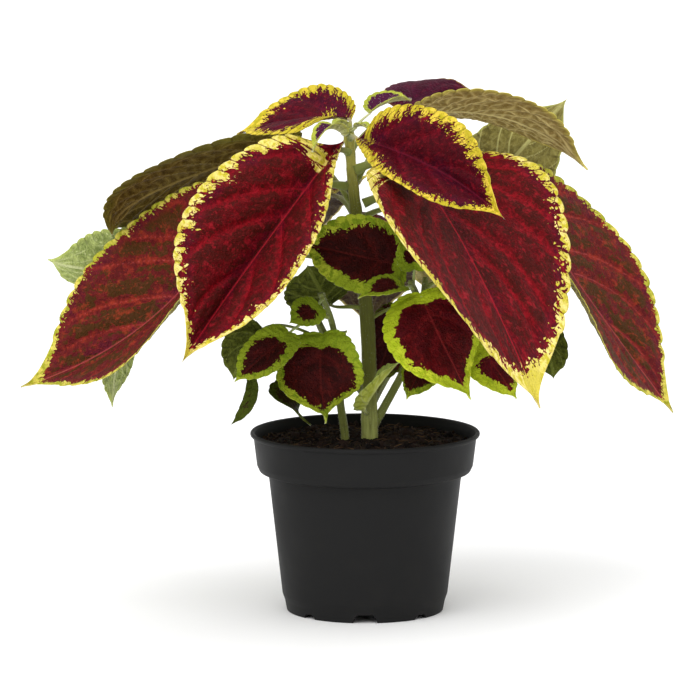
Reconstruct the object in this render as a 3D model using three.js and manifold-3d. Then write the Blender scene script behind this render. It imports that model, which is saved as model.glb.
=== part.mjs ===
// A coleus in a round nursery pot: pot, soil, a square main stem, four side shoots and their leaves.
// Millimetres, +Z up. The pot stands on z = 0 and the group is centred under its own bounding box.
import * as THREE from "three";
import { mergeVertices } from "three/addons/utils/BufferGeometryUtils.js";
import Module from "manifold-3d";

const wasm = await Module();
wasm.setup();

// ---------------------------------------------------------------- driving dimensions

const POT_SEGMENTS = 36;
const POT_RIM_RADIUS = 60;
const POT_RIM_TOP = 94.4;
const POT_FLOOR_UNDER = 2.6;
const POT_FLOOR_TOP = 3.8;
const FOOT_RADIUS = 40.9;
const FOOT_WIDTH = 2.6;
const NOTCHES = 8; // drainage notches round the foot, the first one at the front
const NOTCH_FRONT_WIDTH = 14;
const NOTCH_WIDTH = 9;
const NOTCH_FRONT_HEIGHT = 4.4;
const NOTCH_HEIGHT = 2.4;
const NOTCH_DEPTH = 12; // how far a notch reaches inwards from the foot's outside
const NOTCH_OUT = 4; // how far its cutting box stands out past the foot


const SOIL_SECTORS = 24;
const SOIL_EDGE = 88; // height of the soil at the pot wall
const SOIL_CROWN = 90.6; // height of the soil round the stem
const SOIL_LUMP = 1.1; // how far the crown's lumps rise and fall
const SOIL_RADIUS = 56.2;
const CROWN_RINGS = [17, 26, 35, 44, 52]; // radii of the vertex rings of the crown
const CROWN_TURN = 1.4; // angle of the cosine along which the crown falls to its last ring

const CLEARANCE = 0.3; // gap between two pieces that touch
const BLADE = 0.7; // thickness of a leaf blade
const RIB_DEPTH = 1.1; // how far the midrib stands out below the blade at its base, at most
const RIB_SHARE = 0.025; // and as a share of the leaf's width

// Stems: centreline points, radius at the foot and at the top.
const STEMS = {
  main: {
    points: [[2.5, 0, 72], [2.3, 0, 100], [1.5, 0, 145], [-3, 0, 195], [-6.5, 0, 225], [-8.5, 0, 252]],
    radii: [5.5, 2.6],
    steps: 9,
    sides: 8,
  },
  shoot_left: {
    points: [
      [-11, -5, 74], [-10.5, -5, 92], [-13, -12, 112], [-14, -22, 138], [-18, -27, 158], [-23, -31, 171],
    ],
    radii: [2.8, 1.5],
    steps: 8,
    sides: 6,
  },
  shoot_right: {
    points: [[4, 1, 96], [10, 0, 107], [20, -6, 127], [27, -16, 147], [28, -28, 165], [23, -36, 178]],
    radii: [2.8, 1.4],
    steps: 8,
    sides: 6,
  },
  shoot_back_right: {
    points: [[1, 2, 104], [10, 14, 119], [23, 26, 137], [30, 34, 156], [32, 38, 170]],
    radii: [2.4, 1.4],
    steps: 6,
    sides: 6,
  },
  shoot_back_left: {
    points: [[1, 2, 112], [-9, 13, 124], [-20, 25, 139], [-27, 33, 154], [-29, 37, 168]],
    radii: [2.4, 1.4],
    steps: 6,
    sides: 6,
  },
};

// Leaves. on: the stem and the height on it where the petiole starts. rib: points that the midrib passes
// at the blade's base, middle and tip. width: of the flat blade. lift: how far the left and the right half
// rise out of the level, in degrees, seen along the midrib from its base. curl: how far each half bends
// down between midrib and margin. teeth: on each margin. face: replaces straight up as the side from
// which lift is counted, where a blade hangs or stands. foot: for the left and the right half, the share of
// the midrib where its margin starts, how round it starts (1 is round, 2 a wedge) and how far it runs back
// past its start. drip: share of the midrib along which the tip draws out.
const LEAVES = [
  {
    name: "leaf_front_left", on: ["main", 240], kind: "red", width: 90, teeth: 19,
    rib: [[-11, -8, 248], [-58, -52, 190], [-92, -126, 149]], lift: [17, 60], curl: [-10, 35],
    foot: [[0, 1.7, 0], [0.1, 1.1, 0.2]],
  },
  {
    name: "leaf_front_right", on: ["main", 230], kind: "red", width: 138, teeth: 18,
    rib: [[14, -3, 238], [45, -56, 208], [88, -99, 122]], lift: [5, 22], curl: [-10, -14],
    drip: 0.08, foot: [[0, 1.1, 0.16], [0.25, 1.2, 0.1]],
  },
  {
    name: "leaf_top_right", on: ["main", 247], kind: "red", width: 56, teeth: 17,
    rib: [[-5, -21, 250], [36, -55, 238], [69, -113, 220]], lift: [79, -9], curl: [26, -11],
    foot: [[0.08, 1.1, 0.16], [0, 1.6, 0]],
  },
  {
    name: "leaf_top_left", on: ["main", 247], kind: "red", width: 47, teeth: 14,
    rib: [[-7, 3, 258], [-33, 7, 257], [-67, 18, 248]], lift: [-12, 39], curl: [35, -10],
    foot: [[0.22, 1.2, 0], [0, 1.1, 0.16]],
  },
  {
    name: "leaf_top_back", on: ["main", 240], kind: "red", width: 42, teeth: 13,
    rib: [[17, 38, 259], [36, 56, 265], [59, 70, 264]], lift: [14, -10], curl: [60, 15],
  },
  {
    name: "leaf_right_arching", on: ["main", 222], kind: "red", width: 62, teeth: 18,
    rib: [[23, 27, 257], [75, 36, 254], [117, 37, 227]], lift: [-14, 28], curl: [-11, -10],
  },
  {
    name: "leaf_left_arching", on: ["main", 210], kind: "red", width: 61, teeth: 18,
    rib: [[-35, 34, 242], [-111, 23, 217], [-132, 18, 195]], lift: [26, -26], curl: [6, -8],
    face: [-1, 0, 1],
  },
  {
    name: "leaf_far_right", on: ["main", 212], kind: "red", width: 101, teeth: 18,
    rib: [[79, 3, 219], [120, 25, 157], [163, 38, 98]], lift: [56, -24], curl: [-12, -11],
    drip: 0.15,
  },
  {
    name: "leaf_far_left", on: ["main", 222], kind: "red", width: 100, teeth: 18,
    rib: [[-65, -18, 215], [-112, -2, 153], [-180, 10, 116]], lift: [-14, 68], curl: [-11, -11],
    drip: 0.14,
  },
  {
    name: "leaf_right_pale", on: ["main", 204], kind: "green", width: 62, teeth: 14,
    rib: [[60, 54, 211], [82, 70, 233], [108, 84, 260]], lift: [30, 45], curl: [10, 10],
    face: [0, 1, 0],
  },
  {
    name: "leaf_left_pale", on: ["main", 196], kind: "green", width: 60, teeth: 15,
    rib: [[-84, 44, 179], [-133, 45, 173], [-167, 43, 179]], lift: [54, -30], curl: [-9, -10],
  },
  {
    name: "leaf_left_hanging", on: ["main", 180], kind: "green", width: 36, teeth: 13,
    rib: [[-123, 28, 155], [-130, 27, 130], [-133, 25, 103]], lift: [-30, 25], curl: [15, 15],
    face: [-0.6, 0.8, 0],
  },
  {
    name: "leaf_back_left", on: ["main", 204], kind: "red", width: 84, teeth: 16,
    rib: [[-16, 30, 216], [-48, 76, 186], [-68, 100, 132]], lift: [12, 12], curl: [25, 25],
  },
  {
    name: "leaf_back_right", on: ["main", 168], kind: "red", width: 84, teeth: 16,
    rib: [[14, 38, 198], [42, 84, 174], [58, 108, 124]], lift: [6, 6], curl: [25, 25],
  },
  {
    name: "leaf_back_middle", on: ["main", 146], kind: "red", width: 52, teeth: 13,
    rib: [[2, 26, 168], [2, 60, 162], [2, 92, 134]], lift: [12, 12], curl: [25, 25],
  },
  {
    name: "leaf_middle", on: ["main", 172], kind: "lime", width: 42, teeth: 13,
    rib: [[20, -24, 184], [-7, -30, 191], [-34, -32, 197]], lift: [20, 8], curl: [10, 10],
    face: [0, -1, 0.3],
  },
  {
    name: "leaf_shoot_right_low", on: ["shoot_right", 174], kind: "lime", width: 22, teeth: 9,
    rib: [[20, -42, 176], [10, -46, 176], [-4, -49, 171]], lift: [-8, 27], curl: [10, 10],
  },
  {
    name: "leaf_shoot_right_high", on: ["shoot_right", 174], kind: "lime", width: 19, teeth: 8,
    rib: [[25, -35, 184], [24, -36, 193], [22, -34, 203]], lift: [30, 30], curl: [10, 10],
    face: [0, -1, 0],
  },
  {
    name: "leaf_low_right", on: ["shoot_right", 160], kind: "lime", width: 54, teeth: 13,
    rib: [[28, -36, 172], [39, -52, 149], [54, -58, 120]], lift: [7, -30], curl: [15, 15],
  },
  {
    name: "leaf_low_left", on: ["shoot_left", 140], kind: "lime", width: 45, teeth: 12,
    rib: [[-22, -31, 150], [-23, -40, 128], [-20, -42, 105]], lift: [20, -8], curl: [15, 15],
  },
  {
    name: "leaf_shoot_left_low", on: ["shoot_left", 158], kind: "lime", width: 27, teeth: 10,
    rib: [[-39, -46, 153], [-53, -54, 141], [-67, -57, 129]], lift: [-27, 35], curl: [10, 10],
  },
  {
    name: "leaf_shoot_left_high", on: ["shoot_left", 168], kind: "lime", width: 19, teeth: 8,
    rib: [[-24, -36, 166], [-31, -40, 162], [-39, -42, 157]], lift: [-38, 38], curl: [5, 5],
  },
  {
    name: "leaf_strap", on: ["shoot_left", 122], kind: "green", width: 7, teeth: 6,
    rib: [[-59, -28, 128], [-60, -34, 115], [-70, -38, 103]], lift: [10, 10], curl: [20, 20],
    face: [0, -1, 0.3],
  },
  {
    name: "leaf_low_left_back", on: ["shoot_left", 112], kind: "green", width: 24, teeth: 8,
    rib: [[-39, -14, 122], [-38, -19, 111], [-28, -22, 101]], lift: [-19, 19], curl: [10, 10],
  },
  {
    name: "leaf_left_dark", on: ["shoot_left", 140], kind: "green", width: 26, teeth: 8,
    rib: [[-53, -26, 152], [-62, -32, 141], [-68, -34, 126]], lift: [25, 25], curl: [10, 10],
    face: [0, 1, 0.2],
  },
  {
    name: "leaf_stem_left", on: ["main", 158], kind: "green", width: 40, teeth: 10,
    rib: [[-18, -8, 162], [-24, -14, 172], [-30, -18, 184]], lift: [10, 10], curl: [10, 10],
    face: [0, 1, 0.3],
  },
  {
    name: "leaf_base_right", on: ["shoot_right", 140], kind: "lime", width: 30, teeth: 9,
    rib: [[33, -26, 143], [27, -34, 129], [21, -38, 117]], lift: [-6, -14], curl: [10, 10],
  },
  {
    name: "leaf_right_dark", on: ["shoot_right", 150], kind: "lime", width: 34, teeth: 9,
    rib: [[58, -24, 146], [68, -32, 131], [78, -36, 117]], lift: [3, -17], curl: [10, 10],
  },
  {
    name: "leaf_right_shaded", on: ["shoot_back_right", 146], kind: "green", width: 26, teeth: 8,
    rib: [[83, 4, 153], [94, 0, 138], [98, -4, 122]], lift: [30, 30], curl: [10, 10],
    face: [0, 1, 0],
  },
  {
    name: "leaf_stem_front", on: ["main", 101], kind: "lime", width: 20, teeth: 8,
    rib: [[-1, -10, 107], [7, -18, 121], [17, -24, 134]], lift: [50, 5], curl: [10, 10],
  },
  {
    name: "leaf_top_young_left", on: ["main", 249], kind: "red", width: 12, teeth: 6,
    rib: [[-11, -13, 251], [-20, -25, 255], [-27, -31, 244]], lift: [30, 30], curl: [10, 10],
  },
  {
    name: "leaf_top_young_right", on: ["main", 249], kind: "red", width: 18, teeth: 8,
    rib: [[2, 9, 260], [12, 14, 265], [24, 17, 266]], lift: [35, 20], curl: [10, 10],
    foot: [[0, 1.1, 0.1], [0, 1.2, 0]],
  },
  {
    name: "leaf_bud_left", on: ["main", 249], kind: "green", width: 8, teeth: 4,
    rib: [[-9, -4, 253], [-13, -6, 256], [-18, -9, 255]], lift: [35, 35], curl: [5, 5],
  },
  {
    name: "leaf_bud_right", on: ["main", 249], kind: "green", width: 7, teeth: 4,
    rib: [[-5, -5, 254], [-1, -8, 255], [3, -12, 252]], lift: [30, 30], curl: [5, 5],
  },
  {
    name: "leaf_back_low_right", on: ["shoot_back_right", 164], kind: "lime", width: 46, teeth: 12,
    rib: [[42, 46, 168], [68, 60, 156], [88, 68, 128]], lift: [8, 8], curl: [20, 20],
  },
  {
    name: "leaf_back_low_left", on: ["shoot_back_left", 162], kind: "lime", width: 42, teeth: 12,
    rib: [[-38, 44, 166], [-58, 58, 156], [-74, 64, 138]], lift: [8, 8], curl: [20, 20],
  },
  {
    name: "leaf_back_base_right", on: ["main", 152], kind: "lime", width: 27, teeth: 10,
    rib: [[19, 10, 158], [12, 8, 138], [5, 8, 117]], lift: [5, 5], curl: [10, 10],
    face: [0, -1, 0.3],
  },
  {
    name: "leaf_back_base_left", on: ["shoot_back_left", 134], kind: "lime", width: 36, teeth: 10,
    rib: [[-20, 38, 138], [-28, 54, 130], [-33, 66, 110]], lift: [8, 8], curl: [20, 20],
  },
];

const COLOURS = {
  pot: 0x1c1d1d, soil: 0x2a1c15, stem: 0x7d8a3e, red: 0x6d1420, lime: 0x86a020, green: 0x5c6b2a,
};

// ---------------------------------------------------------------- small helpers

const radians = (degrees) => (degrees * Math.PI) / 180;

// A small generator of repeatable random numbers in 0..1.
function seeded(seed) {
  let state = seed;
  return () => {
    state = (state * 1664525 + 1013904223) % 4294967296;
    return state / 4294967296;
  };
}

function solidOf(vertices, triangles) {
  const mesh = new wasm.Mesh({
    numProp: 3,
    vertProperties: new Float32Array(vertices),
    triVerts: new Uint32Array(triangles),
  });
  return new wasm.Manifold(mesh);
}

function solidOfGeometry(geometry) {
  const bare = geometry.clone();
  bare.deleteAttribute("normal");
  bare.deleteAttribute("uv");
  const merged = mergeVertices(bare, 1e-4);
  return solidOf(merged.attributes.position.array, merged.index.array);
}

function geometryOfSolid(solid) {
  const mesh = solid.getMesh();
  const geometry = new THREE.BufferGeometry();
  geometry.setAttribute("position", new THREE.BufferAttribute(mesh.vertProperties, 3));
  geometry.setIndex(new THREE.BufferAttribute(mesh.triVerts, 1));
  return geometry;
}

// The largest of a solid's separate bodies, so that no loose scrap stays.
function largestBody(solid) {
  const bodies = solid.decompose();
  return bodies.reduce((best, body) => (body.volume() > best.volume() ? body : best));
}

function meshNode(name, solid, colour, roughness) {
  const material = new THREE.MeshStandardMaterial({ color: colour, roughness, metalness: 0 });
  const mesh = new THREE.Mesh(geometryOfSolid(solid), material);
  mesh.name = name;
  return mesh;
}

// A closed tube of a given number of sides through points, with a radius at each point.
function tube(points, radii, sides) {
  const last = points.length - 1;
  const frames = framesAlong(points);
  const vertices = [];
  points.forEach((point, i) => {
    for (let k = 0; k < sides; k++) {
      const angle = (2 * Math.PI * (k + 0.5)) / sides;
      const out = frames[i].side.clone().multiplyScalar(Math.cos(angle) * radii[i]);
      out.addScaledVector(frames[i].up, Math.sin(angle) * radii[i]).add(point);
      vertices.push(out.x, out.y, out.z);
    }
  });
  const foot = vertices.length / 3;
  vertices.push(...points[0].toArray(), ...points[last].toArray());
  const triangles = [];
  for (let k = 0; k < sides; k++) {
    const next = (k + 1) % sides;
    triangles.push(foot, next, k, foot + 1, last * sides + k, last * sides + next);
    for (let i = 0; i < last; i++) {
      const a = i * sides + k;
      const b = i * sides + next;
      triangles.push(a, b, b + sides, a, b + sides, a + sides);
    }
  }
  return solidOf(vertices, triangles);
}

// Directions across a polyline that don't twist from point to point.
function framesAlong(points) {
  const frames = [];
  let side = null;
  points.forEach((point, i) => {
    const before = points[Math.max(0, i - 1)];
    const after = points[Math.min(points.length - 1, i + 1)];
    const along = after.clone().sub(before).normalize();
    if (!side) {
      const reference = Math.abs(along.z) > 0.9 ? new THREE.Vector3(1, 0, 0) : new THREE.Vector3(0, 0, 1);
      side = reference.clone().cross(along).normalize();
    }
    side = side.clone().addScaledVector(along, -side.dot(along)).normalize();
    frames.push({ side, up: along.clone().cross(side).normalize() });
  });
  return frames;
}

// ---------------------------------------------------------------- pot and soil

// Outer profile of the pot from the foot up to the lip, as radius and height.
const POT_OUTER = [
  [FOOT_RADIUS, 0], [41.9, 5.4], [43.2, 9], [50, 68.5], [50.6, 72.2],
  [55, 73.6], [56.4, 76.6], [58.2, 91.4], [59.8, 92.2], [POT_RIM_RADIUS, 93.4], [59.2, POT_RIM_TOP],
];
// Inner profile from the lip down to the floor.
const POT_INNER = [
  [57.6, 93.6], [56.9, 90.5], [55.2, 77.4], [54.2, 75.2],
  [49.6, 74], [48.8, 69], [42, 9.2], [40.6, POT_FLOOR_TOP],
];

function potSolid() {
  const footInside = FOOT_RADIUS - FOOT_WIDTH;
  const profile = [
    [0, POT_FLOOR_UNDER], [footInside, POT_FLOOR_UNDER], [footInside, 0],
    ...POT_OUTER, ...POT_INNER, [0, POT_FLOOR_TOP],
  ].map(([r, z]) => new THREE.Vector2(r, z));
  const lathe = new THREE.LatheGeometry(profile, POT_SEGMENTS).rotateX(Math.PI / 2);
  let pot = solidOfGeometry(lathe);
  for (let i = 0; i < NOTCHES; i++) {
    const width = i === 0 ? NOTCH_FRONT_WIDTH : NOTCH_WIDTH;
    const height = i === 0 ? NOTCH_FRONT_HEIGHT : NOTCH_HEIGHT;
    const box = new THREE.BoxGeometry(width, NOTCH_DEPTH + NOTCH_OUT, 2 * height);
    box.translate(0, -FOOT_RADIUS + (NOTCH_DEPTH - NOTCH_OUT) / 2, 0);
    box.rotateZ((2 * Math.PI * i) / NOTCHES);
    pot = pot.subtract(solidOfGeometry(box));
  }
  return pot;
}

// Soil: fills the pot to just under the rim, with a lumpy crown and holes for the stems.
function soilSolid(holes) {
  const random = seeded(11);
  const wall = POT_INNER.filter(([, z]) => z < SOIL_EDGE).map(([r, z]) => [r - CLEARANCE, z]);
  const widest = CROWN_RINGS[CROWN_RINGS.length - 1];
  const crown = CROWN_RINGS.map((r) => {
    const fall = Math.cos((r / widest) * CROWN_TURN);
    return [r, SOIL_EDGE + (SOIL_CROWN - SOIL_EDGE) * fall];
  });
  const rings = [...crown, [SOIL_RADIUS, SOIL_EDGE], ...wall.map(([r, z]) => [r, z + CLEARANCE])];
  const vertices = [0, 0, SOIL_CROWN];
  rings.forEach(([r, z], i) => {
    for (let k = 0; k < SOIL_SECTORS; k++) {
      const angle = (2 * Math.PI * k) / SOIL_SECTORS;
      const lump = i < crown.length ? SOIL_LUMP * (2 * random() - 1) : 0;
      vertices.push(r * Math.cos(angle), r * Math.sin(angle), z + lump);
    }
  });
  const bottom = vertices.length / 3;
  vertices.push(0, 0, rings[rings.length - 1][1]);
  const triangles = [];
  for (let k = 0; k < SOIL_SECTORS; k++) {
    const next = (k + 1) % SOIL_SECTORS;
    triangles.push(0, 1 + k, 1 + next);
    const lastRing = 1 + (rings.length - 1) * SOIL_SECTORS;
    triangles.push(bottom, lastRing + next, lastRing + k);
    for (let i = 0; i + 1 < rings.length; i++) {
      const a = 1 + i * SOIL_SECTORS + k;
      const b = 1 + i * SOIL_SECTORS + next;
      triangles.push(a, a + SOIL_SECTORS, b + SOIL_SECTORS, a, b + SOIL_SECTORS, b);
    }
  }
  return largestBody(solidOf(vertices, triangles).subtract(holes));
}

// ---------------------------------------------------------------- stems

function stemCurve(name) {
  return new THREE.CatmullRomCurve3(STEMS[name].points.map((p) => new THREE.Vector3(...p)));
}

// The point of a stem's centreline at a given height.
function stemPoint(name, height) {
  const curve = stemCurve(name);
  let low = 0;
  let high = 1;
  for (let i = 0; i < 30; i++) {
    const middle = (low + high) / 2;
    if (curve.getPoint(middle).z < height) low = middle;
    else high = middle;
  }
  return curve.getPoint(low);
}

function stemSolid(name, grow) {
  const { radii, steps, sides } = STEMS[name];
  const points = stemCurve(name).getPoints(steps);
  const along = points.map((_, i) => radii[0] + (radii[1] - radii[0]) * (i / steps) + grow);
  return tube(points, along, sides);
}

// ---------------------------------------------------------------- leaves

const ROWS_LARGE = 6; // rows of vertices along the midrib of a large leaf
const ROWS_SMALL = 4;
const LARGE_LEAF = 60; // width from which a leaf counts as large
const MIDDLE_ROW = 0.62; // where the row of vertices between midrib and margin lies
const PETIOLE_SIDES = 4;
const PETIOLE_STEPS = 4;
const PETIOLE_RADIUS = 0.6; // of a very small leaf, and what is added per millimetre of leaf width
const PETIOLE_RADIUS_GAIN = 0.012;
const PETIOLE_TAPER = [1.15, 0.65]; // radius at the stem and in the blade, as a share of the one above
const PETIOLE_BENDS = [0.35, 0.3]; // how far its ends run straight, as a share of its span
const PETIOLE_RISE = 0.5; // how much it leaves the stem upwards
const PETIOLE_END = 0.05; // where it ends under the midrib, as a share of that
const PETIOLE_SINK = 0.2; // how far its end lies under the blade, as a share of its radius
const VEIN_SWEEP = 0.35; // how far the side veins run forward
const FOOT = [0, 1.1, 0.16]; // foot of a half for which its leaf gives none
const OUTLINE_TIP = 1.4; // how round the half outline closes at the tip, 1 is round, 2 a wedge
const DRIP_TIP = 0.13; // drip of a leaf that gives none
const DRIP_POWER = 1.3; // how suddenly the tip draws out
const LOBE_POWER = 4; // how close to the start of its margin a half's lobe stays
const TOOTH_START = 0.04; // where the teeth of a margin begin and end
const TOOTH_END = 0.75;
const TOOTH_BASE = 0.5; // height of a tooth: this much, and a share of the leaf's width
const TOOTH_HEIGHT = 0.011;
const SMALL_TOOTH_WIDTH = 40; // a leaf narrower than half of this has lower teeth
const TIP_STATIONS = [0.22, 0.45, 0.68]; // margin vertices between the last tooth and the tip
const TOOTH_FADE = 0.4; // how much lower the last tooth is than the first
const TOOTH_PEAK = 0.55; // where a tooth stands out most, as a share of its length

function midribOf(leaf) {
  const [base, middle, tip] = leaf.rib.map((p) => new THREE.Vector3(...p));
  const control = middle.clone().multiplyScalar(2).addScaledVector(base, -0.5).addScaledVector(tip, -0.5);
  return new THREE.QuadraticBezierCurve3(base, control, tip);
}

// Where on the midrib the vein starts that ends about level with along, both as a share of the midrib.
const veinAt = (along) => along * (1 - VEIN_SWEEP * 4 * along * (1 - along));

// Half outline at s, from the petiole (0) round to the tip (1): where its vein leaves the midrib,
// where it meets the margin, both as a share of the midrib, and the half width as a share of the widest.
function outlineAt(leaf, sign, s) {
  const [start, round, lobe] = leaf.foot ? leaf.foot[sign < 0 ? 0 : 1] : FOOT;
  const half = (Math.PI * s) / 2;
  const along = Math.sin(half) ** 2;
  const widest = round / (round + OUTLINE_TIP);
  const peak = widest ** (round / 2) * (1 - widest) ** (OUTLINE_TIP / 2);
  const oval = (Math.sin(half) ** round * Math.cos(half) ** OUTLINE_TIP) / peak;
  const drip = 1 - Math.exp(-(((1 - along) / (leaf.drip ?? DRIP_TIP)) ** DRIP_POWER));
  const spread = oval * drip;
  return {
    vein: veinAt(along),
    margin: start + (1 - start) * (along - lobe * spread * (1 - along) ** LOBE_POWER),
    spread,
  };
}

// A point of the blade. along: share of the midrib, across: distance from it, negative on the left,
// lift: distance above the middle of the blade's thickness.
function bladePoint(leaf, curve, along, across, lift) {
  const station = THREE.MathUtils.clamp(along, 0, 1);
  const tangent = curve.getTangent(station);
  const point = curve.getPoint(station).addScaledVector(tangent, (along - station) * curve.getLength());
  const side = tangent.clone().cross(new THREE.Vector3(...(leaf.face ?? [0, 0, 1]))).normalize();
  const normal = side.clone().cross(tangent).normalize();
  const [left, right] = leaf.lift.map((angle, i) => radians(angle + leaf.curl[i] / 2));
  if (across === 0) {
    const roll = (right - left) / 2;
    return point.addScaledVector(side, -Math.sin(roll) * lift).addScaledVector(normal, Math.cos(roll) * lift);
  }
  const sign = Math.sign(across);
  const rise = sign < 0 ? left : right;
  const bend = radians(leaf.curl[sign < 0 ? 0 : 1]) / (leaf.width / 2);
  const distance = Math.abs(across);
  const angle = rise - bend * distance;
  const out = (Math.sin(rise) - Math.sin(angle)) / bend;
  const up = (Math.cos(angle) - Math.cos(rise)) / bend;
  point.addScaledVector(side, sign * (out - Math.sin(angle) * lift));
  return point.addScaledVector(normal, up + Math.cos(angle) * lift);
}

// Margin stations, as place along the outline and height of the tooth there.
function marginOf(leaf) {
  const height = Math.min(TOOTH_BASE, leaf.width / SMALL_TOOTH_WIDTH) + leaf.width * TOOTH_HEIGHT;
  const pitch = (TOOTH_END - TOOTH_START) / leaf.teeth;
  const stations = [[TOOTH_START, 0]];
  for (let k = 0; k < leaf.teeth; k++) {
    const start = TOOTH_START + pitch * k;
    stations.push([start + pitch * TOOTH_PEAK, height * (1 - (TOOTH_FADE * k) / leaf.teeth)]);
    stations.push([start + pitch, 0]);
  }
  for (const share of TIP_STATIONS) {
    stations.push([TOOTH_END + (1 - TOOTH_END) * share, 0]);
  }
  return stations;
}

// Blade: one row of vertices on the midrib, one half way out and one on the toothed margin, on both faces.
function bladeSolid(leaf, curve) {
  const halfWidth = leaf.width / 2;
  const vertices = [];
  const triangles = [];
  const add = (along, across, rib) => {
    for (const lift of [BLADE / 2, -BLADE / 2 - rib]) {
      vertices.push(...bladePoint(leaf, curve, along, across, lift).toArray());
    }
    return vertices.length / 3 - 2;
  };
  // Triangles between two rows, on the upper face and the same on the lower one.
  const stitch = (inner, outer, sign) => {
    let i = 0;
    let j = 0;
    while (i + 1 < inner.length || j + 1 < outer.length) {
      const stepInner = j + 1 >= outer.length || (i + 1 < inner.length && inner[i + 1].s <= outer[j + 1].s);
      const third = stepInner ? inner[i + 1] : outer[j + 1];
      const corners = [inner[i].index, outer[j].index, third.index];
      if (new Set(corners).size === 3) {
        const turned = sign > 0 ? corners : [corners[0], corners[2], corners[1]];
        triangles.push(...turned, turned[0] + 1, turned[2] + 1, turned[1] + 1);
      }
      if (stepInner) i++;
      else j++;
    }
  };
  const ribDepth = Math.min(RIB_DEPTH, leaf.width * RIB_SHARE);
  const rows = leaf.width < LARGE_LEAF ? ROWS_SMALL : ROWS_LARGE;
  const stations = Array.from({ length: rows + 1 }, (_, i) => i / rows);
  const midrib = stations.map((s) => ({ s, index: add(outlineAt(leaf, 1, s).vein, 0, ribDepth * (1 - s)) }));
  const foot = midrib[0];
  const tip = midrib[rows];
  const edge = marginOf(leaf);
  for (const sign of [-1, 1]) {
    const pointOn = (s, share, tooth) => {
      const { vein, margin, spread } = outlineAt(leaf, sign, s);
      const reach = share + (tooth * Math.min(1, 2 * spread)) / (spread * halfWidth);
      return add(vein + (margin - vein) * reach, sign * spread * halfWidth * reach, 0);
    };
    const middle = stations.slice(1, -1).map((s) => ({ s, index: pointOn(s, MIDDLE_ROW, 0) }));
    const margin = edge.map(([s, tooth]) => ({ s, index: pointOn(s, 1, tooth) }));
    const rim = [foot, ...margin, tip];
    stitch(midrib, [foot, ...middle, tip], sign);
    stitch([foot, ...middle, tip], rim, sign);
    for (let i = 0; i + 1 < rim.length; i++) {
      const [a, b] = sign > 0 ? [rim[i].index, rim[i + 1].index] : [rim[i + 1].index, rim[i].index];
      triangles.push(a, a + 1, b + 1, a, b + 1, b);
    }
  }
  return solidOf(vertices, triangles);
}

// Petiole from the stem's axis to the blade, where it sinks into the midrib.
function petioleSolid(leaf, curve) {
  const from = stemPoint(...leaf.on);
  const thick = PETIOLE_RADIUS + leaf.width * PETIOLE_RADIUS_GAIN;
  const to = bladePoint(leaf, curve, PETIOLE_END, 0, -BLADE / 2 - PETIOLE_SINK * thick);
  const span = to.distanceTo(from);
  const leave = to.clone().sub(from).normalize().add(new THREE.Vector3(0, 0, PETIOLE_RISE)).normalize();
  const petiole = new THREE.CubicBezierCurve3(
    from,
    from.clone().addScaledVector(leave, span * PETIOLE_BENDS[0]),
    to.clone().addScaledVector(curve.getTangent(0), -span * PETIOLE_BENDS[1]),
    to,
  );
  const points = petiole.getPoints(PETIOLE_STEPS);
  const radii = points.map((_, i) => thick * THREE.MathUtils.lerp(...PETIOLE_TAPER, i / PETIOLE_STEPS));
  return tube(points, radii, PETIOLE_SIDES);
}

function leafSolid(leaf, stemRoom) {
  const curve = midribOf(leaf);
  const whole = bladeSolid(leaf, curve).add(petioleSolid(leaf, curve));
  return largestBody(whole.subtract(stemRoom));
}

// ---------------------------------------------------------------- assembly

const plant = new THREE.Group();
const stemNames = Object.keys(STEMS);
const rooted = ["main", "shoot_left"];
const stemRoom = stemNames.map((name) => stemSolid(name, CLEARANCE)).reduce((all, one) => all.add(one));
const soilHoles = rooted.map((name) => stemSolid(name, CLEARANCE)).reduce((all, one) => all.add(one));

plant.add(meshNode("pot", potSolid(), COLOURS.pot, 0.55));
plant.add(meshNode("soil", soilSolid(soilHoles), COLOURS.soil, 0.95));
for (const name of stemNames) {
  const solid = stemSolid(name, 0);
  const free = name === "main" ? solid : largestBody(solid.subtract(stemSolid("main", CLEARANCE)));
  plant.add(meshNode(name === "main" ? "stem_main" : name, free, COLOURS.stem, 0.6));
}
for (const leaf of LEAVES) {
  plant.add(meshNode(leaf.name, leafSolid(leaf, stemRoom), COLOURS[leaf.kind], 0.65));
}

const box = new THREE.Box3().setFromObject(plant);
plant.position.set(-(box.min.x + box.max.x) / 2, -(box.min.y + box.max.y) / 2, 0);

export default plant;
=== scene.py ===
"""Looks of a coleus in a round nursery pot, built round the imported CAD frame. Blender 4.5.

Every leaf is the same curved blade as its CAD node, finer: scalloped margin, quilted relief between the
side veins, ribs below, petiole and hairs. Lengths in the tables are millimetres round the pot's axis.
"""

import math

import bmesh
import bpy
import numpy as np
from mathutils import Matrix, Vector
from mathutils.kdtree import KDTree


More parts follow.
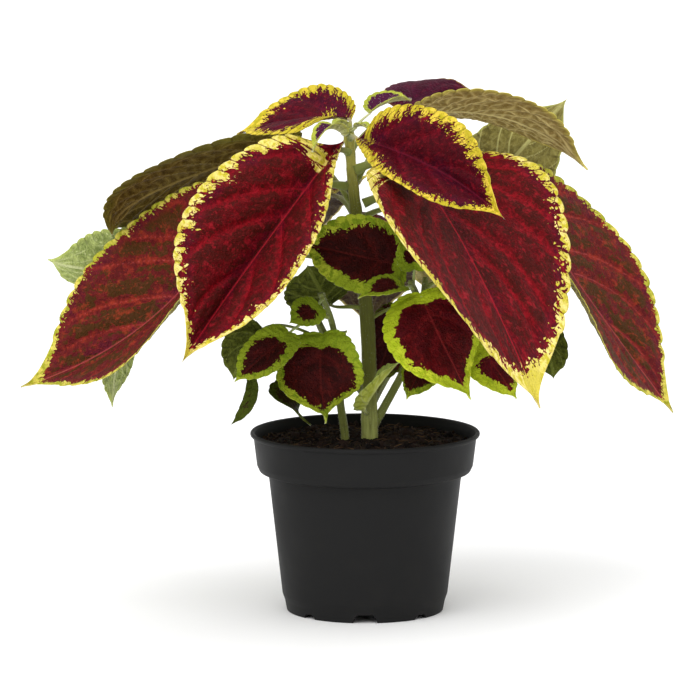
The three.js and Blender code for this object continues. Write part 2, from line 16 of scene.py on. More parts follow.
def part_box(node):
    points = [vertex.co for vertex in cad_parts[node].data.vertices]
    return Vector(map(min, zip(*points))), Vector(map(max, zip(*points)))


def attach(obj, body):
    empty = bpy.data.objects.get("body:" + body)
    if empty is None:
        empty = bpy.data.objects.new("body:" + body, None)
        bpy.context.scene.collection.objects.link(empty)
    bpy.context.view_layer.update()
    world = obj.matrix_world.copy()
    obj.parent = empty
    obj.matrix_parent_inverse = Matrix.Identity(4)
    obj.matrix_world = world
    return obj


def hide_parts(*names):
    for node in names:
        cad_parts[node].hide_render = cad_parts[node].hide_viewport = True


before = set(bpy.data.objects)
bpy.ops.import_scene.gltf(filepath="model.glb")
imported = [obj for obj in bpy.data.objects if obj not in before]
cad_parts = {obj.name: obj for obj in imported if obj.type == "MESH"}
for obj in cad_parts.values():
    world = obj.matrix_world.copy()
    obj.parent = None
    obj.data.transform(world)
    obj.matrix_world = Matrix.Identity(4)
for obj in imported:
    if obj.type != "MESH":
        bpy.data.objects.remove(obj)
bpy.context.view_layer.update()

MM = 0.001
POT_LOW, POT_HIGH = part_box("pot")
POT_AXIS = np.array([(POT_LOW.x + POT_HIGH.x) / 2, (POT_LOW.y + POT_HIGH.y) / 2, 0.0])

# ---------------------------------------------------------------- the plant's measures

STEMS = {
    "main": dict(
        node="stem_main", radii=(5.5, 2.6),
        points=[(2.5, 0, 72), (2.3, 0, 100), (1.5, 0, 145), (-3, 0, 195), (-6.5, 0, 225), (-8.5, 0, 252)],
    ),
    "shoot_left": dict(
        node="shoot_left", radii=(2.8, 1.5),
        points=[
            (-11, -5, 74), (-10.5, -5, 92), (-13, -12, 112), (-14, -22, 138), (-18, -27, 158),
            (-23, -31, 171),
        ],
    ),
    "shoot_right": dict(
        node="shoot_right", radii=(2.8, 1.4),
        points=[(4, 1, 96), (10, 0, 107), (20, -6, 127), (27, -16, 147), (28, -28, 165), (23, -36, 178)],
    ),
    "shoot_back_right": dict(
        node="shoot_back_right", radii=(2.4, 1.4),
        points=[(1, 2, 104), (10, 14, 119), (23, 26, 137), (30, 34, 156), (32, 38, 170)],
    ),
    "shoot_back_left": dict(
        node="shoot_back_left", radii=(2.4, 1.4),
        points=[(1, 2, 112), (-9, 13, 124), (-20, 25, 139), (-27, 33, 154), (-29, 37, 168)],
    ),
}

# name: (stem, height of the petiole's foot, look, width, teeth a side, midrib's base, middle and tip,
#        lift of the left and right half, curl of each, and where a leaf needs them: face, the direction
#        that the upper face is counted from, foot, the start, roundness and lobe of the left and right half,
#        and drip, the share of the midrib along which the tip draws out)
LEAVES = {
    "leaf_front_left": (
        "main", 240, "crimson", 90, 19, ((-11, -8, 248), (-58, -52, 190), (-92, -126, 149)),
        (17, 60), (-10, 35), dict(foot=((0, 1.7, 0), (0.1, 1.1, 0.2))),
    ),
    "leaf_front_right": (
        "main", 230, "crimson", 138, 18, ((14, -3, 238), (45, -56, 208), (88, -99, 122)),
        (5, 22), (-10, -14), dict(foot=((0, 1.1, 0.16), (0.25, 1.2, 0.1)), drip=0.08),
    ),
    "leaf_top_right": (
        "main", 247, "purple", 56, 17, ((-5, -21, 250), (36, -55, 238), (69, -113, 220)),
        (79, -9), (26, -11), dict(foot=((0.08, 1.1, 0.16), (0, 1.6, 0))),
    ),
    "leaf_top_left": (
        "main", 247, "purple", 47, 14, ((-7, 3, 258), (-33, 7, 257), (-67, 18, 248)),
        (-12, 39), (35, -10), dict(foot=((0.22, 1.2, 0), (0, 1.1, 0.16))),
    ),
    "leaf_top_back": (
        "main", 240, "plum", 42, 13, ((17, 38, 259), (36, 56, 265), (59, 70, 264)),
        (14, -10), (60, 15),
    ),
    "leaf_right_arching": (
        "main", 222, "khaki", 62, 18, ((23, 27, 257), (75, 36, 254), (117, 37, 227)),
        (-14, 28), (-11, -10),
    ),
    "leaf_left_arching": (
        "main", 210, "olive", 61, 18, ((-35, 34, 242), (-111, 23, 217), (-132, 18, 195)),
        (26, -26), (6, -8), dict(face=(-1, 0, 1)),
    ),
    "leaf_far_right": (
        "main", 212, "bronze", 101, 18, ((79, 3, 219), (120, 25, 157), (163, 38, 98)),
        (56, -24), (-12, -11), dict(drip=0.15),
    ),
    "leaf_far_left": (
        "main", 222, "bronze", 100, 18, ((-65, -18, 215), (-112, -2, 153), (-180, 10, 116)),
        (-14, 68), (-11, -11), dict(drip=0.14),
    ),
    "leaf_right_pale": (
        "main", 204, "moss", 62, 14, ((60, 54, 211), (82, 70, 233), (108, 84, 260)),
        (30, 45), (10, 10), dict(face=(0, 1, 0)),
    ),
    "leaf_left_pale": (
        "main", 196, "pale", 60, 15, ((-84, 44, 179), (-133, 45, 173), (-167, 43, 179)),
        (54, -30), (-9, -10),
    ),
    "leaf_left_hanging": (
        "main", 180, "pale", 36, 13, ((-123, 28, 155), (-130, 27, 130), (-133, 25, 103)),
        (-30, 25), (15, 15), dict(face=(-0.6, 0.8, 0)),
    ),
    "leaf_back_left": (
        "main", 204, "crimson", 84, 16, ((-16, 30, 216), (-48, 76, 186), (-68, 100, 132)),
        (12, 12), (25, 25),
    ),
    "leaf_back_right": (
        "main", 168, "bronze", 84, 16, ((14, 38, 198), (42, 84, 174), (58, 108, 124)),
        (6, 6), (25, 25),
    ),
    "leaf_back_middle": (
        "main", 146, "crimson", 52, 13, ((2, 26, 168), (2, 60, 162), (2, 92, 134)),
        (12, 12), (25, 25),
    ),
    "leaf_middle": (
        "main", 172, "lime", 42, 13, ((20, -24, 184), (-7, -30, 191), (-34, -32, 197)),
        (20, 8), (10, 10), dict(face=(0, -1, 0.3)),
    ),
    "leaf_shoot_right_low": (
        "shoot_right", 174, "lime", 22, 9, ((20, -42, 176), (10, -46, 176), (-4, -49, 171)),
        (-8, 27), (10, 10),
    ),
    "leaf_shoot_right_high": (
        "shoot_right", 174, "lime", 19, 8, ((25, -35, 184), (24, -36, 193), (22, -34, 203)),
        (30, 30), (10, 10), dict(face=(0, -1, 0)),
    ),
    "leaf_low_right": (
        "shoot_right", 160, "lime_red", 54, 13, ((28, -36, 172), (39, -52, 149), (54, -58, 120)),
        (7, -30), (15, 15),
    ),
    "leaf_low_left": (
        "shoot_left", 140, "lime", 45, 12, ((-22, -31, 150), (-23, -40, 128), (-20, -42, 105)),
        (20, -8), (15, 15),
    ),
    "leaf_shoot_left_low": (
        "shoot_left", 158, "lime", 27, 10, ((-39, -46, 153), (-53, -54, 141), (-67, -57, 129)),
        (-27, 35), (10, 10),
    ),
    "leaf_shoot_left_high": (
        "shoot_left", 168, "lime", 19, 8, ((-24, -36, 166), (-31, -40, 162), (-39, -42, 157)),
        (-38, 38), (5, 5),
    ),
    "leaf_strap": (
        "shoot_left", 122, "shade", 7, 6, ((-59, -28, 128), (-60, -34, 115), (-70, -38, 103)),
        (10, 10), (20, 20), dict(face=(0, -1, 0.3)),
    ),
    "leaf_low_left_back": (
        "shoot_left", 112, "shade", 24, 8, ((-39, -14, 122), (-38, -19, 111), (-28, -22, 101)),
        (-19, 19), (10, 10),
    ),
    "leaf_left_dark": (
        "shoot_left", 140, "shade", 26, 8, ((-53, -26, 152), (-62, -32, 141), (-68, -34, 126)),
        (25, 25), (10, 10), dict(face=(0, 1, 0.2)),
    ),
    "leaf_stem_left": (
        "main", 158, "shade", 40, 10, ((-18, -8, 162), (-24, -14, 172), (-30, -18, 184)),
        (10, 10), (10, 10), dict(face=(0, 1, 0.3)),
    ),
    "leaf_base_right": (
        "shoot_right", 140, "lime", 30, 9, ((33, -26, 143), (27, -34, 129), (21, -38, 117)),
        (-6, -14), (10, 10),
    ),
    "leaf_right_dark": (
        "shoot_right", 150, "lime_red", 34, 9, ((58, -24, 146), (68, -32, 131), (78, -36, 117)),
        (3, -17), (10, 10),
    ),
    "leaf_right_shaded": (
        "shoot_back_right", 146, "shade", 26, 8, ((83, 4, 153), (94, 0, 138), (98, -4, 122)),
        (30, 30), (10, 10), dict(face=(0, 1, 0)),
    ),
    "leaf_stem_front": (
        "main", 101, "fold", 20, 8, ((-1, -10, 107), (7, -18, 121), (17, -24, 134)),
        (50, 5), (10, 10),
    ),
    "leaf_top_young_left": (
        "main", 249, "young", 12, 6, ((-11, -13, 251), (-20, -25, 255), (-27, -31, 244)),
        (30, 30), (10, 10),
    ),
    "leaf_top_young_right": (
        "main", 249, "young", 18, 8, ((2, 9, 260), (12, 14, 265), (24, 17, 266)),
        (35, 20), (10, 10), dict(foot=((0, 1.1, 0.1), (0, 1.2, 0))),
    ),
    "leaf_bud_left": (
        "main", 249, "young", 8, 4, ((-9, -4, 253), (-13, -6, 256), (-18, -9, 255)),
        (35, 35), (5, 5),
    ),
    "leaf_bud_right": (
        "main", 249, "young", 7, 4, ((-5, -5, 254), (-1, -8, 255), (3, -12, 252)),
        (30, 30), (5, 5),
    ),
    "leaf_back_low_right": (
        "shoot_back_right", 164, "lime", 46, 12, ((42, 46, 168), (68, 60, 156), (88, 68, 128)),
        (8, 8), (20, 20),
    ),
    "leaf_back_low_left": (
        "shoot_back_left", 162, "lime", 42, 12, ((-38, 44, 166), (-58, 58, 156), (-74, 64, 138)),
        (8, 8), (20, 20),
    ),
    "leaf_back_base_right": (
        "main", 152, "maroon", 27, 10, ((19, 10, 158), (12, 8, 138), (5, 8, 117)),
        (5, 5), (10, 10), dict(face=(0, -1, 0.3)),
    ),
    "leaf_back_base_left": (
        "shoot_back_left", 134, "lime", 36, 10, ((-20, 38, 138), (-28, 54, 130), (-33, 66, 110)),
        (8, 8), (20, 20),
    ),
}

BLADE = 0.56  # thickness of a blade
VEIN_SWEEP = 0.35  # how far the side veins run forward
UP = (0, 0, 1)
FOOT = (0, 1.1, 0.16)  # foot of a half for which its leaf gives none
OUTLINE_TIP = 1.4  # how round the half outline closes at the tip, 1 is round, 2 a wedge
DRIP_TIP = 0.13  # drip of a leaf that gives none
DRIP_POWER = 1.3  # how suddenly the tip draws out
TOOTH_START = 0.04  # where the teeth of a margin begin and end
TOOTH_END = 0.75
TOOTH_BASE = 0.5  # height of a tooth: this much, and a share of the leaf's width
TOOTH_HEIGHT = 0.011
TOOTH_SKEW = 1.36  # leans the scallops towards the tip
LARGE_LEAF = 60


# ---------------------------------------------------------------- meshes

def unit(v):
    """v, or each row of v, at length 1."""
    return v / np.maximum(np.linalg.norm(v, axis=-1, keepdims=True), 1e-12)


def smoothstep(low, high, x):
    t = np.clip((x - low) / (high - low), 0, 1)
    return t * t * (3 - 2 * t)


def falloff(distance, width):
    """1 at a distance of 0, and next to nothing beyond twice the width."""
    return np.exp(-((distance / width) ** 2))


class Soup:
    """Vertices in millimetres round the pot's axis, their values, and faces with material numbers."""

    def __init__(self, values=()):
        self.points, self.faces, self.materials = [], [], []
        self.values = {name: [] for name in values}
        self.count = 0

    def add(self, points, faces, material=0, **values):
        """faces is a list of arrays, each with one row of vertex numbers for every face."""
        points = np.asarray(points, float)
        for rows in faces:
            self.faces.append(np.asarray(rows, np.int64) + self.count)
            self.materials.append(np.full(len(rows), material, np.int32))
        self.points.append(points)
        for name, kept in self.values.items():
            value = values.get(name, 0.0)
            kept.append(np.broadcast_to(np.asarray(value, float), (len(points),)).copy())
        self.count += len(points)

    def build(self, name, materials):
        points = (np.concatenate(self.points) * MM + POT_AXIS).astype(np.float32)
        loops = np.concatenate([rows.ravel() for rows in self.faces]).astype(np.int32)
        totals = np.concatenate([np.full(len(rows), rows.shape[1], np.int32) for rows in self.faces])
        starts = np.concatenate([[0], np.cumsum(totals)[:-1]]).astype(np.int32)
        mesh = bpy.data.meshes.new(name)
        mesh.vertices.add(len(points))
        mesh.vertices.foreach_set("co", points.ravel())
        mesh.loops.add(len(loops))
        mesh.loops.foreach_set("vertex_index", loops)
        mesh.polygons.add(len(totals))
        mesh.polygons.foreach_set("loop_start", starts)
        mesh.polygons.foreach_set("loop_total", totals)
        mesh.polygons.foreach_set("material_index", np.concatenate(self.materials))
        mesh.polygons.foreach_set("use_smooth", np.full(len(totals), True))
        for key, parts in self.values.items():
            attribute = mesh.attributes.new(key, "FLOAT", "POINT")
            attribute.data.foreach_set("value", np.concatenate(parts).astype(np.float32))
        mesh.update(calc_edges=True)
        mesh.validate()
        for material in materials:
            mesh.materials.append(material)
        piece = bpy.data.objects.new(name, mesh)
        bpy.context.scene.collection.objects.link(piece)
        return piece


def grid_quads(rows, columns, closed=False, flip=False):
    """Quads of a grid numbered row by row. closed joins the last column to the first.

    flip turns the faces over.
    """
    r, c = np.meshgrid(np.arange(rows - 1), np.arange(columns if closed else columns - 1), indexing="ij")
    r, c = r.ravel(), c.ravel()
    n = (c + 1) % columns
    quads = np.stack([r * columns + c, r * columns + n, (r + 1) * columns + n, (r + 1) * columns + c], 1)
    return quads[:, ::-1] if flip else quads


def fan(centre, first, sides, flip=False):
    """Triangles from the vertex centre to a ring of vertices that starts at the vertex first."""
    k = np.arange(sides)
    a, b = first + k, first + (k + 1) % sides
    return np.stack([np.full(sides, centre), b, a] if flip else [np.full(sides, centre), a, b], 1)


def capped(rows, sides, flip=False):
    """Faces of a tube of rows rings. The two vertices after the rings close its first and last ring."""
    count = rows * sides
    return [
        grid_quads(rows, sides, closed=True, flip=flip), fan(count, 0, sides, flip=not flip),
        fan(count + 1, count - sides, sides, flip=flip),
    ]


def frames_along(points):
    """Directions across a line of points that don't twist from point to point, as (side, up)."""
    sides, ups = [], []
    side = None
    last = len(points) - 1
    for i in range(len(points)):
        along = unit(points[min(last, i + 1)] - points[max(0, i - 1)])
        if side is None:
            side = np.cross((1.0, 0, 0) if abs(along[2]) > 0.9 else (0, 0, 1.0), along)
        side = unit(side - along * np.dot(side, along))
        sides.append(side)
        ups.append(np.cross(along, side))
    return np.array(sides), np.array(ups)


def add_tube(soup, points, radii, sides, material, shape=np.ones_like, **values):
    """A closed tube through points. shape gives the radius factor at an angle round it.

    values are given for each point. The value around goes from 0 on one side of the tube to 3 on the other.
    Returns the directions across the tube at its points.
    """
    across, up = frames_along(points)
    angle = 2 * np.pi * (np.arange(sides) + 0.5) / sides
    reach = np.asarray(radii, float)[:, None] * shape(angle)[None]
    ring = points[:, None] + across[:, None] * (np.cos(angle)[None] * reach)[..., None]
    ring = ring + up[:, None] * (np.sin(angle)[None] * reach)[..., None]
    vertices = np.concatenate([ring.reshape(-1, 3), points[:1], points[-1:]])
    kept = {}
    for key, value in values.items():
        kept[key] = np.concatenate([np.repeat(value, sides), value[:1], value[-1:]])
    turn = np.tile(np.arange(sides) / sides * 6.0, len(points))
    kept["around"] = np.concatenate([np.minimum(turn, 6 - turn), [0, 0]])
    soup.add(vertices, capped(len(points), sides), material, **kept)
    return across, up


def add_hairs(soup, random, roots, out, sway, lengths, thickness, material, **values):
    """Three-sided hairs that stand out from their roots, swayed at random. lengths is their range."""
    count = len(roots)
    if not count:
        return
    directions = unit(out + random.normal(0, sway, (count, 3)))
    reach = random.uniform(*lengths, count)
    helper = np.where(np.abs(directions[:, 2:3]) > 0.8, (1.0, 0, 0), (0, 0, 1.0))
    a = unit(np.cross(directions, helper))
    b = np.cross(directions, a)
    ring = [roots + thickness * (math.cos(t) * a + math.sin(t) * b) for t in (0, 2.094, 4.189)]
    points = np.stack([*ring, roots + directions * reach[:, None]], 1).reshape(-1, 3)
    base = np.arange(count)[:, None] * 4
    faces = np.concatenate([base + np.array(t) for t in ((0, 1, 3), (1, 2, 3), (2, 0, 3))])
    soup.add(points, [faces], material, **{key: np.repeat(value, 4) for key, value in values.items()})


# ---------------------------------------------------------------- shader nodes

class Shader:
    """A material's node tree, with short calls for the nodes that the materials here use."""

    def __init__(self, name):
        self.material = bpy.data.materials.new(name)
        self.material.use_nodes = True
        self.tree = self.material.node_tree
        self.bsdf = next(n for n in self.tree.nodes if n.type == "BSDF_PRINCIPLED")

    def _put(self, value, socket):
        if isinstance(value, bpy.types.NodeSocket):
            self.tree.links.new(value, socket)
        elif isinstance(value, tuple):
            socket.default_value = (*value, 1)
        else:
            socket.default_value = value

    def _node(self, kind, inputs, **settings):
        """The outputs of a new node. inputs gives sockets or values, by the number or name of the input."""
        node = self.tree.nodes.new("ShaderNode" + kind)
        for key, value in settings.items():
            setattr(node, key, value)
        for key, value in inputs.items():
            self._put(value, node.inputs[key])
        return node.outputs

    def value(self, name):
        """A value that the vertices carry."""
        return self._node("Attribute", {}, attribute_name=name)["Fac"]

    def position(self):
        return self._node("TexCoord", {})["Object"]

    def parts(self, vector):
        return self._node("SeparateXYZ", {0: vector})

    def vector(self, x, y, z=0.0):
        return self._node("CombineXYZ", {0: x, 1: y, 2: z})[0]

    def math(self, operation, a, b=0.5):
        return self._node("Math", {0: a, 1: b}, operation=operation)[0]

    def plus(self, a, b):
        return self.math("ADD", a, b)

    def minus(self, a, b):
        return self.math("SUBTRACT", a, b)

    def times(self, a, b):
        return self.math("MULTIPLY", a, b)

    def least(self, a, b):
        return self.math("MINIMUM", a, b)

    def most(self, a, b):
        return self.math("MAXIMUM", a, b)

    def ramp(self, value, low, high, to_low=0.0, to_high=1.0):
        inputs = {0: value, 1: low, 2: high, 3: to_low, 4: to_high}
        return self._node("MapRange", inputs, interpolation_type="SMOOTHSTEP")[0]

    def noise(self, vector, scale, detail=2.0, roughness=0.5):
        inputs = {"Vector": vector, "Scale": scale, "Detail": detail, "Roughness": roughness}
        return self._node("TexNoise", inputs)["Fac"]

    def centred(self, noise, size):
        """A noise made to go from minus half of size to half of it."""
        return self.times(self.minus(noise, 0.5), size)

    def wiggles(self, vector, scale):
        """Wandering lines: 0 on them, more beside them."""
        return self.math("ABSOLUTE", self.minus(self.noise(vector, scale), 0.5))

    def cell_wall(self, vector, scale):
        """Irregular cells: how far a place is from the wall of its cell."""
        inputs = {"Vector": vector, "Scale": scale}
        return self._node("TexVoronoi", inputs, feature="DISTANCE_TO_EDGE")["Distance"]

    def cell_tone(self, vector, scale):
        """A random tone for each of the cells that cell_wall gives at this scale."""
        return self._node("TexVoronoi", {"Vector": vector, "Scale": scale})["Color"]

    def mix(self, factor, a, b):
        return self._node("Mix", {0: factor, 6: a, 7: b}, data_type="RGBA")[2]

    def coats(self, colour, *coats):
        """A colour with coats over it. Each coat gives how much of it shows and its colour."""
        for share, coat in coats:
            colour = self.mix(share, colour, coat)
        return colour

    def bump(self, height, distance, strength):
        inputs = {"Strength": strength, "Distance": distance, "Height": height}
        self.tree.links.new(self._node("Bump", inputs)[0], self.bsdf.inputs["Normal"])

    def finish(self, colour, roughness, **sockets):
        self._put(colour, self.bsdf.inputs["Base Color"])
        self._put(roughness, self.bsdf.inputs["Roughness"])
        for name, value in sockets.items():
            self.bsdf.inputs[name.replace("_", " ")].default_value = value
        return self.material


def srgb(r, g, b):
    """A colour given as it looks on screen, 0 to 255, in linear light."""
    return tuple(((c / 255 + 0.055) / 1.055) ** 2.4 if c > 10 else c / 255 / 12.92 for c in (r, g, b))


def dimmed(colour, share):
    return tuple(c * share for c in colour)


# What a blade's vertices carry, in millimetres: the places along and across the midrib, the place of the row
# along it and that place's share of the length, the place round the margin, and the distances from the
# margin, the side veins, the fine veins lengthwise and crosswise, the notches between the scallops and the
# midrib. top is 1 on the upper face. seed tells the leaves apart.
LEAF_VALUES = (
    "along", "across", "row", "share", "round", "edge", "vein", "cross", "rung", "notch", "rib", "top",
    "seed",
)

# What each look is made of. Upper face: the centre in two tones, its deep blotches and how much of it they
# take, its light flecks, the haze along the midrib, the veins with the strength of the side veins and of
# the veinlets, the glow beside them and how far it reaches. The margin in two tones, its width in
# millimetres, how deep the zone is where it breaks into cells, their size, their stretch, how far the centre
# reaches out between the scallops, with a dark line there that is partly painted shadow, and how much of the
# margin the centre takes at the leaf's foot. Then the blade and ribs below, how strongly the lengthwise ribs
# and the rungs between them show, which also sets the painted shade in the hollows between them, and how
# wide its pale rim is, which where it is wide is painted light on a curled margin.
SHARED_LOOK = dict(
    blotches=0.5, net=0.1, glow=0.0, reach=3.0, stretch=1.0, foot=0.0, ribs=0.5, rungs=0.3, rim=2.0,
)
LOOKS = {
    "crimson": dict(
        centre=((132, 8, 20), (84, 5, 10)), deep=(50, 14, 6), blotches=0.8, fleck=(172, 24, 40),
        haze=(66, 6, 36), vein=(176, 26, 42), veins=0.3, net=0.12, glow=0.18,
        margin=((252, 232, 140), (206, 192, 52)), width=4.6, ragged=3.6, cell=2.4, slit=0.85, foot=0.7,
        under=((84, 66, 34), (58, 36, 26)), rib=(120, 106, 64),
    ),
    "purple": dict(
        centre=((104, 5, 22), (66, 2, 14)), deep=(40, 2, 8), fleck=(150, 18, 36), haze=(60, 5, 40),
        vein=(104, 14, 40), veins=0.12, net=0.06, margin=((238, 208, 74), (186, 172, 34)), width=4.2,
        ragged=3.6, cell=1.5, stretch=0.85, slit=0.6, foot=0.5, under=((120, 100, 64), (96, 62, 56)),
        rib=(176, 160, 110),
    ),
    "plum": dict(
        centre=((86, 6, 34), (58, 2, 22)), deep=(38, 2, 16), fleck=(112, 16, 46), haze=(66, 6, 40),
        vein=(44, 2, 18), veins=0.6, net=0.06, margin=((170, 150, 50), (116, 70, 30)), width=1.1,
        ragged=0.9, cell=1.4, slit=0.5, foot=-0.8, under=((120, 100, 64), (96, 62, 56)),
        rib=(176, 160, 110),
    ),
    "bronze": dict(
        centre=((122, 32, 26), (88, 20, 22)), deep=(62, 42, 10), blotches=0.9, fleck=(168, 56, 34),
        haze=(84, 14, 46), vein=(172, 70, 70), veins=0.6, glow=0.45,
        margin=((220, 206, 92), (164, 166, 40)), width=2.5, ragged=1.8, cell=1.9, slit=0.8, foot=0.7,
        under=((166, 156, 92), (132, 120, 66)), rib=(196, 188, 130),
    ),
    "khaki": dict(
        centre=((92, 6, 18), (58, 3, 9)), deep=(36, 3, 5), fleck=(130, 22, 34), haze=(72, 6, 32),
        vein=(132, 22, 42), veins=0.2, margin=((222, 208, 92), (186, 186, 56)), width=3.6, ragged=2.4,
        cell=1.8, slit=0.4, foot=0.5, under=((196, 176, 110), (158, 132, 70)), rib=(226, 210, 146),
        ribs=1.35, rungs=0.4, rim=4.0,
    ),
    # lime: its dark deep margin tone is partly painted shade for the lower leaves under the canopy.
    "lime": dict(
        centre=((70, 14, 8), (42, 8, 4)), deep=(24, 6, 3), blotches=0.6, fleck=(110, 28, 22),
        haze=(56, 10, 12), vein=(96, 28, 24), veins=0.2, glow=0.05, reach=2.0,
        margin=((200, 208, 60), (120, 142, 26)), width=5.0, ragged=1.4, cell=1.8, slit=0.25, foot=-1.0,
        under=((134, 150, 74), (108, 128, 54)), rib=(166, 182, 108),
    ),
    # lime_red: a lighter copy of lime with a redder centre; its bright margin is partly painted light on the
    # lit low front leaves.
    "lime_red": dict(
        centre=((104, 14, 16), (68, 8, 7)), deep=(42, 6, 5), blotches=0.6, fleck=(142, 32, 30),
        haze=(84, 8, 22), vein=(150, 44, 44), veins=0.25, net=0.12, glow=0.05, reach=2.0,
        margin=((226, 234, 66), (176, 196, 34)), width=5.8, ragged=1.3, cell=1.8, slit=0.25, foot=-0.8,
        under=((142, 160, 80), (118, 140, 62)), rib=(170, 188, 114),
    ),
    "maroon": dict(
        centre=((78, 24, 26), (48, 14, 14)), deep=(30, 9, 7), fleck=(104, 40, 40), haze=(70, 20, 28),
        vein=(104, 44, 42), veins=0.4, net=0.12, margin=((120, 126, 40), (84, 94, 26)), width=1.6,
        ragged=1.0, cell=1.4, slit=0.3, under=((110, 112, 54), (80, 84, 36)), rib=(140, 142, 80),
    ),
    "young": dict(
        centre=((78, 20, 58), (54, 12, 42)), deep=(42, 8, 30), blotches=0.3, fleck=(112, 44, 66),
        haze=(74, 20, 56), vein=(112, 52, 66), veins=0.4, margin=((206, 206, 86), (164, 172, 56)),
        width=2.6, ragged=0.7, cell=1.2, slit=0.2, under=((184, 186, 114), (150, 152, 84)),
        rib=(208, 208, 156), rungs=0.2,
    ),
    "fold": dict(
        centre=((72, 18, 12), (46, 10, 7)), deep=(32, 8, 5), blotches=0.4, fleck=(100, 36, 30),
        haze=(66, 14, 18), vein=(100, 36, 30), veins=0.3, margin=((196, 208, 116), (164, 180, 84)),
        width=4.4, ragged=1.0, cell=1.4, slit=0.2, under=((214, 222, 100), (188, 198, 68)),
        rib=(222, 228, 140), ribs=0.3, rungs=0.2,
    ),
    "pale": dict(
        centre=((96, 64, 40), (76, 72, 34)), deep=(58, 52, 26), blotches=0.4, fleck=(128, 92, 56),
        haze=(92, 56, 40), vein=(140, 120, 70), veins=0.5, net=0.3,
        margin=((190, 202, 104), (160, 176, 78)), width=5.0, ragged=2.0, cell=1.5, slit=0.4,
        under=((192, 206, 122), (144, 160, 86)), rib=(222, 228, 168), ribs=0.7, rim=3.0,
    ),
    "moss": dict(
        centre=((90, 62, 36), (70, 66, 30)), deep=(54, 48, 24), blotches=0.4, fleck=(120, 88, 52),
        haze=(84, 54, 36), vein=(134, 116, 66), veins=0.5, net=0.3,
        margin=((184, 186, 92), (154, 160, 70)), width=5.0, ragged=2.0, cell=1.5, slit=0.4,
        under=((140, 130, 68), (102, 92, 40)), rib=(182, 176, 110), ribs=0.25, rungs=0.15,
    ),
    # Dark olive tones for small leaves deep in the canopy: painted shade over their green.
    "shade": dict(
        centre=((56, 28, 14), (42, 36, 14)), deep=(32, 26, 10), blotches=0.4, fleck=(76, 54, 26),
        haze=(54, 28, 16), vein=(88, 88, 38), veins=0.5, net=0.3, margin=((90, 100, 26), (62, 72, 16)),
        width=4.0, ragged=2.0, cell=1.5, slit=0.3, under=((84, 90, 28), (54, 60, 14)),
        rib=(106, 114, 46), ribs=0.4, rungs=0.25,
    ),
}
# Olive: khaki with darker tones; its wide pale rim is painted light on the curled upper margin.
LOOKS["olive"] = dict(
    LOOKS["khaki"], margin=((140, 136, 48), (104, 106, 28)), under=((128, 106, 48), (88, 68, 22)),
    rib=(156, 132, 70), ribs=1.1, rungs=0.25, rim=11.0,
)
LOOKS = {name: {**SHARED_LOOK, **values} for name, values in LOOKS.items()}


